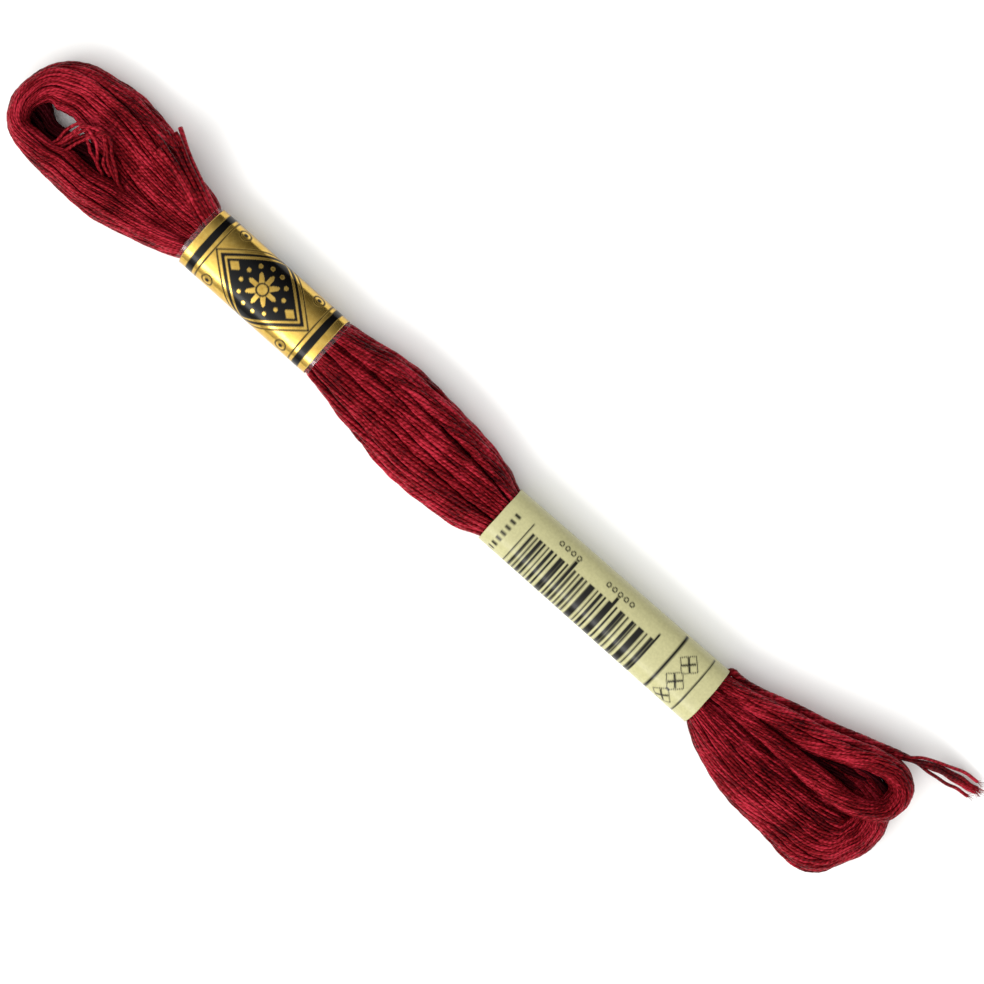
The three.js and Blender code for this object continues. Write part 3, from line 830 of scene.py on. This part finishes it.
# The waves of a band's cut edges over a girth of about EDGE_GIRTH.
EDGE_WAVES = [(9.0, 0.6), (4.0, 0.4)]
EDGE_GIRTH = 30.0
FILM_REACH = 0.7  # how far the clear film stands out of the foil band's ends
FILM_TUCK = 0.15  # share of that which it reaches in under the foil's edge
FILM_OUT = 0.3  # how far outside the foil's line it lies, in paper thicknesses
# Points of a sheet along the skein and round it.
FOIL_GRID = (185, 230)
FILM_GRID = (8, 120)
PALE_GRID = (240, 176)


def band_sheet(ends, grid, inset, edge_wave, seed):
    """Outer and inner face of a paper band, lengthwise by round, and the print's axes.

    Round the girth the sheet starts under the skein, climbs one side, crosses the crown
    and comes back, and its last stretch lies a paper's thickness outside its first one.
    Each ring is a superellipse about the middle height. Returns both faces, the length
    in mm from the band's first end and the girth in mm from the crown's middle, more
    towards +Y.
    """
    rng = np.random.default_rng(seed)
    near, far = (np.array(end) for end in ends)
    lengthwise, round_ = grid
    share = np.linspace(0, 1, lengthwise)[:, None]
    row = near + (far - near) * share
    x, y, half, under, crown = (row[:, k : k + 1] for k in range(5))
    way = np.linspace(0, 1 + LAP, round_)[None, :]
    angle = -0.5 * np.pi - LAP * np.pi + 2 * np.pi * way
    above = np.sin(angle) > 0
    reach = superellipse(angle, np.where(above, BAND_POWER, POWER_UNDER))
    waist = (under + crown) / 2
    tall = np.where(above, crown - waist, BAND_UNDER_REACH * (waist - under))
    tuck = LAP_TUCK * PAPER * (1 - np.clip(way / LAP, 0, 1) ** 4)

    def face(depth):
        """Across and up of the sheet's face that lies this deep."""
        across = np.cos(angle) * reach * (half - depth)
        up = waist + np.sin(angle) * reach * (tall - depth)
        return y + across, np.maximum(up, under + depth)

    wave = edge_wave * drift(rng, 1, way * EDGE_GIRTH, EDGE_WAVES)
    ease = (2 * share - 1) ** 3
    length = x + ease * (0.5 * wave)
    faces = []
    for depth in (inset + tuck, inset + tuck + PAPER):
        across, up = face(depth)
        faces.append(np.stack([np.broadcast_to(length, across.shape), across, up], axis=-1))
    girth = running_sum(np.linalg.norm(np.diff(faces[0][0], axis=0), axis=-1))
    girth -= np.interp(0.5 + 0.5 * LAP, way[0], girth)
    return faces, length - x[0], np.broadcast_to(-girth, length.shape)


def closed_sheet(name, faces, fields):
    """A thin closed sheet from its outer and inner face, with its four edges."""
    outer, inner = faces
    rows, columns = outer.shape[:2]
    points = np.concatenate([outer.reshape(-1, 3), inner.reshape(-1, 3)])
    index = np.arange(rows * columns).reshape(rows, columns)
    under = index + rows * columns

    def quads(a, b, c, d):
        """One quad for each place of the four arrays of corners."""
        return np.stack([a, b, c, d], axis=-1).reshape(-1, 4)

    faces_all = np.concatenate([
        quads(index[:-1, :-1], index[1:, :-1], index[1:, 1:], index[:-1, 1:]),
        quads(under[:-1, :-1], under[:-1, 1:], under[1:, 1:], under[1:, :-1]),
        quads(index[0, :-1], index[0, 1:], under[0, 1:], under[0, :-1]),
        quads(index[-1, 1:], index[-1, :-1], under[-1, :-1], under[-1, 1:]),
        quads(index[1:, 0], index[:-1, 0], under[:-1, 0], under[1:, 0]),
        quads(index[:-1, -1], index[1:, -1], under[1:, -1], under[:-1, -1]),
    ])
    loops = faces_all.ravel()
    uv = np.stack([points[loops, 0], points[loops, 1]], axis=-1)
    inside = np.concatenate([np.zeros(rows * columns), np.ones(rows * columns)])
    values = {field: np.concatenate([value.ravel()] * 2) for field, value in fields.items()}
    values["inside"] = inside
    return build_mesh(name, points, loops, np.full(len(faces_all), 4), uv.ravel(), values)


PRINT_EDGE = 0.12  # width of the soft edge of printed ink, about a grid step


def soft_step(distance):
    """One where the distance in mm is above nought, with a soft edge."""
    return np.clip(distance / PRINT_EDGE + 0.5, 0, 1)


def stripe(value, low, high):
    """A printed stripe between two values."""
    return soft_step(np.minimum(value - low, high - value))


# The foil's print, in mm along and round the band. Its stripes count from both ends.
FOIL_STRIPES = [(1.25, 2.45), (2.95, 3.2)]
FOIL_PERIOD = 12.6  # girth after which the print repeats
LOZENGE = (8.1, 6.9)  # half length and half girth
LOZENGE_SCALE = 5.2  # mm for one unit of the lozenge's own measure
GOLD_LINE = (0.85, 0.9)  # in that measure, as is the outline
OUTLINE = (1.07, 1.12)
PETALS = 8
PETAL_EDGE = (2.5, 0.72, 0.28)  # largest radius, its even share and its wave
FLOWER_RING = (0.75, 1.05)
DOTS = 12
DOT_RING = 3.45
DOT_RADIUS = 0.3
SQUARE_PLACE = 5.3  # from the lozenge's middle, along the band
SQUARE_SIZE = (0.95, 0.75)
SQUARE_SCALE = 0.6
CORNER_PLACE = (7.1, 4.6)
CORNER_RING = (0.75, 1.0)
CORNER_DOT = 0.35


def foil_print(length, girth, whole):
    """Black ink on the foil: edge stripes and a lozenge with a gold flower inside.

    The lozenge is |u| / a + |g| / b < 1 about the crown's middle and repeats round the
    girth. The flower's edge is r = c (0.72 + 0.28 cos 8 angle), inside a ring of dots
    and between two squares, and a small ring with a dot lies beyond each corner.
    """
    u = length - whole / 2
    edge = np.minimum(length, whole - length)
    g = (girth + FOIL_PERIOD / 2) % FOIL_PERIOD - FOIL_PERIOD / 2
    diamond = np.abs(u) / LOZENGE[0] + np.abs(g) / LOZENGE[1]
    r = np.hypot(u, g)
    angle = np.arctan2(g, u)

    def line(low, high):
        """A line between two values of the lozenge's measure."""
        return soft_step(np.minimum(diamond - low, high - diamond) * LOZENGE_SCALE)

    size, even, wave = PETAL_EDGE
    gold = [line(*GOLD_LINE), soft_step(size * (even + wave * np.cos(PETALS * angle)) - r)]
    ground = soft_step((1 - diamond) * LOZENGE_SCALE)
    for shape in gold:
        ground = ground * (1 - shape)
    ground = np.maximum(ground, stripe(r, *FLOWER_RING))
    for k in range(DOTS):
        turn = 2 * np.pi * (k + 0.5) / DOTS
        away = np.hypot(u - DOT_RING * np.cos(turn), g - DOT_RING * np.sin(turn))
        ground = ground * (1 - soft_step(DOT_RADIUS - away))
    for side in (-1, 1):
        square = np.abs(u - side * SQUARE_PLACE) / SQUARE_SIZE[0]
        small = soft_step((1 - square - np.abs(g) / SQUARE_SIZE[1]) * SQUARE_SCALE)
        ground = ground * (1 - small)
    inner = stripe(edge, FOIL_STRIPES[1][1], whole)
    corner = np.hypot(np.abs(u) - CORNER_PLACE[0], np.abs(g) - CORNER_PLACE[1])
    return np.maximum.reduce([
        *(stripe(edge, *ends) for ends in FOIL_STRIPES),
        ground,
        line(*OUTLINE) * inner,
        stripe(corner, *CORNER_RING) * inner,
        soft_step(CORNER_DOT - corner) * inner,
    ])


# The pale band's print: places along it from its first end and round it from the crown.
BAR_COUNT = 34
BAR_FIELD = (4.6, 29.3)
BAR_BOTTOM = -7.1
BAR_TOPS = (2.2, 1.0)  # top of one bar in LONG_EVERY and of the others
BAR_WIDTHS = (0.34, 0.62)  # least width and how much is added at most, in pitches
BAR_POWER = 1.2  # more makes thin bars commoner
LONG_EVERY = 11
BAR_SHIFT = 0.3  # a bar is pushed on by up to this much of the pitch
GOLDEN = 0.618
SHIFT_STEP = 0.37
RING_COUNT = 9
RING_LINE = (9.6, 1.1, 4.6)  # first ring, pitch, and the gap after RING_GROUP of them
RING_GROUP = 4
RING_HEIGHT = 2.7
RING_EDGES = (0.22, 0.42)
DASH_COUNT = 8
DASH_ENDS = (1.7, 2.7)
DASH_PITCH = 1.05
DASH_FIRST = (-6.2, -5.75)
RULES = [(31.95, 32.45), (37.3, 37.58)]
RULE_ENDS = (-7.6, 5.2)
STITCH_COUNT = 3
STITCH_PLACE = 34.9
STITCH_LINE = (-4.4, 3.0)  # height of the first one, and pitch
STITCH_ARM = (0.16, 0.7)  # half width of an arm, and cosine of 45 degrees, rounded
STITCH_REACH = 1.5
STITCH_FRAME = (1.55, 1.75)


def pale_print(length, girth):
    """Dark ink on the pale band: uneven bars, rings, dashes, rules and three stitches.

    A bar is 0.34 to 0.96 of the pitch wide, by the fractional part of its number times
    GOLDEN, and is pushed on by another such part, so the field is only a texture.
    """
    ink = np.zeros(np.broadcast(length, girth).shape)
    start, stop = BAR_FIELD
    pitch = (stop - start) / BAR_COUNT
    for k in range(BAR_COUNT):
        wide = pitch * (BAR_WIDTHS[0] + BAR_WIDTHS[1] * ((k * GOLDEN) % 1) ** BAR_POWER)
        left = start + k * pitch + BAR_SHIFT * pitch * ((k * SHIFT_STEP) % 1)
        top = BAR_TOPS[0] if k % LONG_EVERY == 0 else BAR_TOPS[1]
        bar = stripe(length, left, left + wide) * stripe(girth, BAR_BOTTOM, top)
        ink = np.maximum(ink, bar)
    first, step, gap = RING_LINE
    for k in range(RING_COUNT):
        away = np.hypot(length - (first + k * step + gap * (k >= RING_GROUP)), girth - RING_HEIGHT)
        ink = np.maximum(ink, stripe(away, *RING_EDGES))
    for k in range(DASH_COUNT):
        low, high = (end + k * DASH_PITCH for end in DASH_FIRST)
        ink = np.maximum(ink, stripe(length, *DASH_ENDS) * stripe(girth, low, high))
    for ends in RULES:
        ink = np.maximum(ink, stripe(length, *ends) * stripe(girth, *RULE_ENDS))
    half, slant = STITCH_ARM
    for k in range(STITCH_COUNT):
        across, up = length - STITCH_PLACE, girth - (STITCH_LINE[0] + STITCH_LINE[1] * k)
        spread = np.abs(across) + np.abs(up)
        arm = np.minimum(np.abs(across - up), np.abs(across + up)) * slant
        ink = np.maximum(ink, soft_step(half - arm) * soft_step(STITCH_REACH - spread))
        ink = np.maximum(ink, stripe(spread, *STITCH_FRAME))
    return ink


# =====================================================================================
# Settings, operators and panel
# =====================================================================================


class FlossSettings(bpy.types.PropertyGroup):
    """Sizes of the thread."""

    twist_tail: bpy.props.FloatProperty(
        name="Tail twist", description="Length in which a thread's strands turn once in the tail",
        default=0.0090, min=0.002, unit="LENGTH")
    twist_belly: bpy.props.FloatProperty(
        name="Belly twist", description="Length in which a thread's strands turn once elsewhere",
        default=0.0130, min=0.002, unit="LENGTH")
    strand_width: bpy.props.FloatProperty(
        name="Strand width", description="Width of one loose strand",
        default=0.00052, min=0.0002, unit="LENGTH")


class StageSettings(bpy.types.PropertyGroup):
    """Floor, light and camera."""

    floor_colour: bpy.props.FloatVectorProperty(
        name="Floor colour", description="Colour of the board under the skein",
        default=linear("#FCFCFA")[:3], subtype="COLOR")
    key_power: bpy.props.FloatProperty(
        name="Key light", description="Power of the strip light",
        default=2.3, min=0.0, unit="POWER")
    dome: bpy.props.FloatProperty(
        name="Dome light", description="Brightness of the white surroundings",
        default=2.5, min=0.0)
    camera_height: bpy.props.FloatProperty(
        name="Camera height", description="Height of the camera above the board",
        default=0.382, min=0.1, unit="LENGTH")
    camera_turn: bpy.props.FloatProperty(
        name="Camera turn", description="Turn of the picture against the skein's length",
        default=math.radians(41.7), subtype="ANGLE")


CAMERA_LENS = 95.0
CAMERA_SENSOR = 36.0
CAMERA_X, CAMERA_Y = 7.27, 0.88  # point of the frame under the lens, in mm
FLOOR_SIZE = 4.0  # in metres, as are the size and the distance of the strip light
FLOOR_STEPS = 24
FLOOR_DEPTH = 0.02  # how far the board lies below the part
STRIP_SIZE = (0.60, 0.20)
STRIP_AWAY = 0.65
STRIP_RISE = math.radians(45)
GLOW_TILT = math.radians(33)
# Cosine of the angle from the glow's middle, and the brightness there.
GLOW = [(-0.33, 0.04), (0.05, 0.06), (0.34, 0.10), (0.53, 0.15), (0.82, 0.36), (0.92, 0.58),
        (0.96, 0.80), (0.99, 1.0)]
# Share of a direction along X, and the brightness of the end panels there.
PANELS = [(0.3, 0.0), (0.6, 0.30), (1.0, 0.36)]


def lay_floor(context, stage):
    """A flat board, a shade below the part."""
    line = np.linspace(-FLOOR_SIZE / 2, FLOOR_SIZE / 2, FLOOR_STEPS)
    x, y = np.meshgrid(line, line, indexing="ij")
    points = np.stack([x, y, np.full_like(x, -FLOOR_DEPTH * MM)], axis=-1).reshape(-1, 3)
    index = np.arange(FLOOR_STEPS**2).reshape(FLOOR_STEPS, FLOOR_STEPS)
    quads = np.stack([index[:-1, :-1], index[1:, :-1], index[1:, 1:], index[:-1, 1:]], -1)
    mesh = bpy.data.meshes.new("floor")
    mesh.from_pydata(points.tolist(), [], quads.reshape(-1, 4).tolist())
    floor = bpy.data.objects.new("floor", mesh)
    mesh.materials.append(matt_board(stage.floor_colour[:]))
    context.scene.collection.objects.link(floor)


def hang_strip(context, stage):
    """A strip softbox on the -Y side, turned to the part."""
    strip = bpy.data.lights.new("strip_light", "AREA")
    strip.shape = "RECTANGLE"
    strip.size, strip.size_y = STRIP_SIZE
    strip.energy = stage.key_power
    lamp = bpy.data.objects.new("strip_light", strip)
    lamp.location = (0.0, -STRIP_AWAY * math.cos(STRIP_RISE), STRIP_AWAY * math.sin(STRIP_RISE))
    lamp.rotation_euler = (math.radians(90) - STRIP_RISE, 0.0, 0.0)
    context.scene.collection.objects.link(lamp)


def light_surroundings(context, stage):
    """Soft surroundings, brightest high on the -Y side.

    Their brightness is the sum of two ramps: one over the cosine of the angle from the
    middle of a large soft source, GLOW_TILT from the zenith towards -Y, and one over
    the share of the direction along X, for two broad panels beyond the skein's ends.
    """
    world = bpy.data.worlds.new("soft_surroundings")
    world.use_nodes = True
    tree = world.node_tree
    way = add_node(tree, "TexCoord", {}).outputs["Generated"]
    middle = (0.0, -math.sin(GLOW_TILT), math.cos(GLOW_TILT))
    near = add_node(tree, "VectorMath", {0: way, 1: middle}, operation="DOT_PRODUCT")
    share = add_node(tree, "Math", {0: near.outputs["Value"], 1: 0.5, 2: 0.5},
                     operation="MULTIPLY_ADD")
    parts = add_node(tree, "SeparateXYZ", {"Vector": way})
    along = add_node(tree, "Math", {0: parts.outputs["X"]}, operation="ABSOLUTE")
    glow_stops = [((1 + cosine) / 2, level) for cosine, level in GLOW]
    glow, panels = (
        set_ramp(add_node(tree, "ValToRGB", {"Fac": place.outputs[0]}),
                 [(at, (level, level, level, 1.0)) for at, level in stops])
        for place, stops in ((share, glow_stops), (along, PANELS))
    )
    both = add_node(tree, "Math", {0: glow.outputs["Color"], 1: panels.outputs["Color"]},
                    operation="ADD")
    fill_inputs(tree, tree.nodes["Background"], {"Color": both.outputs[0],
                                                 "Strength": stage.dome})
    context.scene.world = world


class FLOSS_OT_stage(bpy.types.Operator):
    """Sets up the camera, the pale floor and the soft light"""

    bl_idname = "floss.stage"
    bl_label = "Stage"

    def execute(self, context):
        stage = context.scene.floss_stage
        camera = bpy.data.cameras.new("camera")
        camera.lens = CAMERA_LENS
        camera.sensor_width = CAMERA_SENSOR
        camera.clip_start, camera.clip_end = 0.01, 10.0
        viewer = bpy.data.objects.new("camera", camera)
        viewer.location = (CAMERA_X * MM, CAMERA_Y * MM, stage.camera_height)
        viewer.rotation_euler = (0.0, 0.0, stage.camera_turn)
        context.scene.collection.objects.link(viewer)
        context.scene.camera = viewer
        context.scene.view_settings.view_transform = "Standard"
        lay_floor(context, stage)
        hang_strip(context, stage)
        light_surroundings(context, stage)
        return {"FINISHED"}


def belly_thread(context):
    """Strands of a thread where it runs smooth."""
    twist = context.scene.floss_thread.twist_belly / MM
    return {"strands": 4, "sides": 6, "twist": twist, "share": 0.42, "flat": 0.85, "loose": 0.12}


def tail_thread(context):
    """Strands of a thread in the tail, where the twist shows most."""
    return {**belly_thread(context), "twist": context.scene.floss_thread.twist_tail / MM}


# Layers and threads: sizes in millimetres, waves as pairs of length and height, fill and
# share as parts of the room and of the thread's width.
UNDER_THREAD = {"strands": 3, "sides": 5, "twist": 9.0, "share": 0.55, "flat": 1.0, "loose": 0.1}
WIND_WAVES = [(70.0, 0.22), (24.0, 0.06)]
SINK_WAVES = [(40.0, 0.08), (13.0, 0.04)]
INNER_LAYER = {
    "threads": 22, "inset": 1.55, "step": 1.4, "uneven": 0.3, "fill": 1.15,
    "width": (0.8, 1.5), "waves": WIND_WAVES, "sink": SINK_WAVES,
}
DEEP_LAYER = {
    "threads": 9, "inset": 0.45, "step": 0.8, "uneven": 0.3, "fill": 1.2,
    "width": (0.8, 1.2), "waves": WIND_WAVES, "sink": SINK_WAVES,
}


def outer_layer(threads, step):
    """The outermost threads of a run."""
    return {
        "threads": threads, "inset": 0.5, "step": step, "uneven": 0.2, "fill": 1.14,
        "width": (0.8, 1.4), "waves": WIND_WAVES, "sink": SINK_WAVES,
    }


def frayed_tips(routes, seed):
    """Fine fibres that splay out of each route's end.

    Each runs on along the route's last direction for about the fray's length, moves
    sideways by a random share of its spread as the square of the length, and stays
    above the table.
    """
    rng = np.random.default_rng(seed)
    tip = np.repeat(routes[:, -2], FRAY["fibres"], axis=0)
    ahead = np.repeat(unit(routes[:, -1] - routes[:, -3]), FRAY["fibres"], axis=0)
    reach = np.linspace(0, 1, FRAY["rings"])[None, :, None]
    length = FRAY["length"] * rng.uniform(*FRAY["shares"], (len(tip), 1, 1))
    aside = rng.normal(0, FRAY["spread"], (len(tip), 1, 3))
    start = rng.normal(0, FRAY["root"], (len(tip), 1, 3))
    fibres = tip[:, None] + start + ahead[:, None] * length * reach + aside * reach**2
    fibres[..., 2] = np.maximum(fibres[..., 2], FRAY["width"])
    return single_strands(fibres, FRAY["width"], sides=5, taper=0.5)


def wind_run(name, rows, outer, inner, thread, seed):
    """Winds a run: its outer threads with all their strands over a plainer layer."""
    parts = [
        twisted_strands(*wound_lines(rows, outer, seed), thread, seed + 1),
        twisted_strands(*wound_lines(rows, inner, seed + 2), UNDER_THREAD, seed + 3),
    ]
    finish_piece(tube_mesh(name, parts, seed + 1), "hank", floss_material(), "hank")


def pack_core(name, rows, seed, deep_rows=None, *, inset, step):
    """Packs the inside of a run, and lays the threads that lie deep in its opening, all in the darker
    floss colours: painted shade.
    """
    parts = [core_rings(rows, inset, step)]
    if deep_rows:
        lines = wound_lines(deep_rows, DEEP_LAYER, seed + 1)
        parts.insert(0, twisted_strands(*lines, UNDER_THREAD, seed + 2))
    finish_piece(tube_mesh(name, parts, seed), "hank", painted_shade_floss_material())


def parted_strands(middle):
    """Routes of the tail end's strands: round the middle line, then each on its own way."""
    rng = np.random.default_rng(71)
    tangent, across, _ = frame_along(middle, UP)
    share = np.linspace(0, 1, len(middle))
    spread = np.clip((share - TAIL_PARTING[0]) / TAIL_PARTING[1], 0, 1)
    spread = spread * spread * (3 - 2 * spread)
    routes = []
    for k, (side, lift, reach) in enumerate(TAIL_SPREAD):
        turn = 2 * np.pi * (k / len(TAIL_SPREAD) - share * TAIL_END_LENGTH / TAIL_TWIST)
        ring = TAIL_RING * (1 - spread)
        wave = drift(rng, 1, share * TAIL_END_LENGTH, TAIL_WAVES)[0] * spread
        offset = ring * np.cos(turn) + side * spread + wave
        route = middle + across * offset[:, None]
        route[:, 2] += ring * np.sin(turn) + lift * spread
        route += tangent * (reach * spread)[:, None]
        route[:, 2] = np.maximum(route[:, 2], STRAND_REST)
        routes.append(route)
    return np.array(routes)


class FLOSS_OT_tail_end(bpy.types.Operator):
    """Lays the free tail end and spreads its six strands"""

    bl_idname = "floss.tail_end"
    bl_label = "Tail end"

    def execute(self, context):
        routes = parted_strands(smooth_route([TAIL_LEAD_IN, *TAIL_END], step=0.5))
        strand = context.scene.floss_thread.strand_width / MM
        piece = tube_mesh("tail_end_strands", [single_strands(routes, strand, sides=6)], 72)
        finish_piece(piece, "tail_end", floss_material(), "tail_end")
        fray = tube_mesh("tail_end_fray", [frayed_tips(routes, 73)], 74)
        finish_piece(fray, "tail_end", floss_material())
        return {"FINISHED"}


class FLOSS_OT_head(bpy.types.Operator):
    """Winds the head: the loop round the eye with its two legs"""

    bl_idname = "floss.head"
    bl_label = "Head loop"

    def execute(self, context):
        thread = belly_thread(context)
        outer = outer_layer(threads=27, step=0.85)
        wind_run("floss_head", HEAD_LOOP, outer, INNER_LAYER, thread, seed=11)
        pack_core("floss_head_core", HEAD_LOOP, 13, CLEFT_THREADS, inset=1.5, step=1.2)
        return {"FINISHED"}


class FLOSS_OT_belly(bpy.types.Operator):
    """Winds the belly between the two bands"""

    bl_idname = "floss.belly"
    bl_label = "Belly"

    def execute(self, context):
        thread = belly_thread(context)
        outer = outer_layer(threads=27, step=0.6)
        wind_run("floss_belly", BELLY, outer, INNER_LAYER, thread, seed=21)
        pack_core("floss_belly_core", BELLY, 23, inset=1.6, step=1.2)
        return {"FINISHED"}


class FLOSS_OT_tail(bpy.types.Operator):
    """Winds the tail: the lower lobe round the end and the upper one that curls over it"""

    bl_idname = "floss.tail"
    bl_label = "Tail lobes"

    def execute(self, context):
        thread = tail_thread(context)
        inner = {**INNER_LAYER, "threads": 20}
        outer = outer_layer(threads=28, step=0.55)
        wind_run("floss_tail_lower", LOWER_LOBE, outer, inner, thread, seed=31)
        pack_core("floss_tail_core", LOWER_LOBE, 33, HOLLOW_THREADS, inset=1.5, step=1.0)
        inner = {**INNER_LAYER, "threads": 11, "inset": 1.25, "width": (0.6, 1.0)}
        outer = outer_layer(threads=18, step=0.55)
        wind_run("floss_tail_upper", UPPER_LOBE, outer, inner, thread, seed=41)
        return {"FINISHED"}


def strands_along(routes, width, step, stray):
    """Single strands along the given routes, all resampled to as many rings.

    Each strays from its route by a slow drift of about the stray on each axis.
    """
    fine = [smooth_route(route, step) for route in routes]
    rings = max(len(route) for route in fine)
    even = [
        np.stack([np.interp(np.linspace(0, 1, rings), np.linspace(0, 1, len(r)), r[:, k])
                  for k in range(3)], axis=1)
        for r in fine
    ]
    along = np.arange(rings) * step
    waves = [(11.0, stray), (4.0, stray / 5)]
    wander = drift(np.random.default_rng(53), 3 * len(even), along, waves)
    wander = wander.reshape(len(even), 3, rings).transpose(0, 2, 1)
    return single_strands(np.array(even) + wander, width, sides=6)


class FLOSS_OT_loose_strands(bpy.types.Operator):
    """Lays the cut strands at the first band's mouth and the slack loop in the cleft"""

    bl_idname = "floss.loose_strands"
    bl_label = "Loose strands"

    def execute(self, context):
        strand = context.scene.floss_thread.strand_width / MM
        stubs = strands_along(HEAD_FAN, FAN_WIDTH * strand, step=0.5, stray=0.06)
        fan = tube_mesh("head_fan_strands", [stubs], 51)
        finish_piece(fan, "head_end", floss_material(), "head_end")
        loops = strands_along(SLACK_LOOP, strand, step=0.5, stray=0.32)
        slack = tube_mesh("slack_loop_strands", [loops], 52)
        finish_piece(slack, "hank", floss_material())
        return {"FINISHED"}


class FLOSS_OT_bands(bpy.types.Operator):
    """Wraps the foil band, its clear film and the pale band round the hank"""

    bl_idname = "floss.bands"
    bl_label = "Bands"

    def execute(self, context):
        faces, length, girth = band_sheet(FOIL_BAND, FOIL_GRID, inset=0.0, edge_wave=0.12, seed=61)
        ink = foil_print(length, girth, FOIL_BAND[1][0] - FOIL_BAND[0][0])
        foil = closed_sheet("foil_band_paper", faces, {"ink": ink})
        finish_piece(foil, "foil_band", printed_foil(), "foil_band")
        gloss = clear_film()
        for name, end, out in zip(("near", "far"), FOIL_BAND, (-FILM_REACH, FILM_REACH)):
            ends = sorted((end[0] + share * out, *end[1:]) for share in (-FILM_TUCK, 1))
            faces, length, girth = band_sheet(
                ends, FILM_GRID, inset=-FILM_OUT * PAPER, edge_wave=0.1, seed=62)
            film = closed_sheet(f"foil_band_film_{name}", faces, {"ink": np.zeros(girth.shape)})
            finish_piece(film, "foil_band", gloss)
        faces, length, girth = band_sheet(PALE_BAND, PALE_GRID, inset=0.0, edge_wave=0.1, seed=63)
        pale = closed_sheet("pale_band_paper", faces, {"ink": pale_print(length, girth)})
        finish_piece(pale, "pale_band", coated_paper(), "pale_band")
        return {"FINISHED"}


MAKING_ORDER = (
    FLOSS_OT_stage,
    FLOSS_OT_tail_end,
    FLOSS_OT_head,
    FLOSS_OT_belly,
    FLOSS_OT_tail,
    FLOSS_OT_loose_strands,
    FLOSS_OT_bands,
)


class FLOSS_PT_panel(bpy.types.Panel):
    """The skein's settings and the operators that make it"""

    bl_idname = "FLOSS_PT_panel"
    bl_label = "Embroidery floss skein"
    bl_space_type = "VIEW_3D"
    bl_region_type = "UI"
    bl_category = "Floss"

    def draw(self, context):
        for group in (context.scene.floss_thread, context.scene.floss_stage):
            box = self.layout.box()
            for name in group.bl_rna.properties.keys():
                if name not in {"rna_type", "name"}:
                    box.prop(group, name)
        for operator in MAKING_ORDER:
            self.layout.operator(operator.bl_idname)


CLASSES = (FlossSettings, StageSettings, *MAKING_ORDER, FLOSS_PT_panel)


def register():
    """Registers the classes and hangs the settings on the scene."""
    for cls in CLASSES:
        bpy.utils.register_class(cls)
    bpy.types.Scene.floss_thread = bpy.props.PointerProperty(type=FlossSettings)
    bpy.types.Scene.floss_stage = bpy.props.PointerProperty(type=StageSettings)


def unregister():
    """Takes the settings and the classes away again."""
    del bpy.types.Scene.floss_stage
    del bpy.types.Scene.floss_thread
    for cls in reversed(CLASSES):
        bpy.utils.unregister_class(cls)


def main():
    """Makes every piece in order."""
    register()
    for operator in MAKING_ORDER:
        group, name = operator.bl_idname.split(".")
        getattr(getattr(bpy.ops, group), name)()


if __name__ == "__main__":
    main()
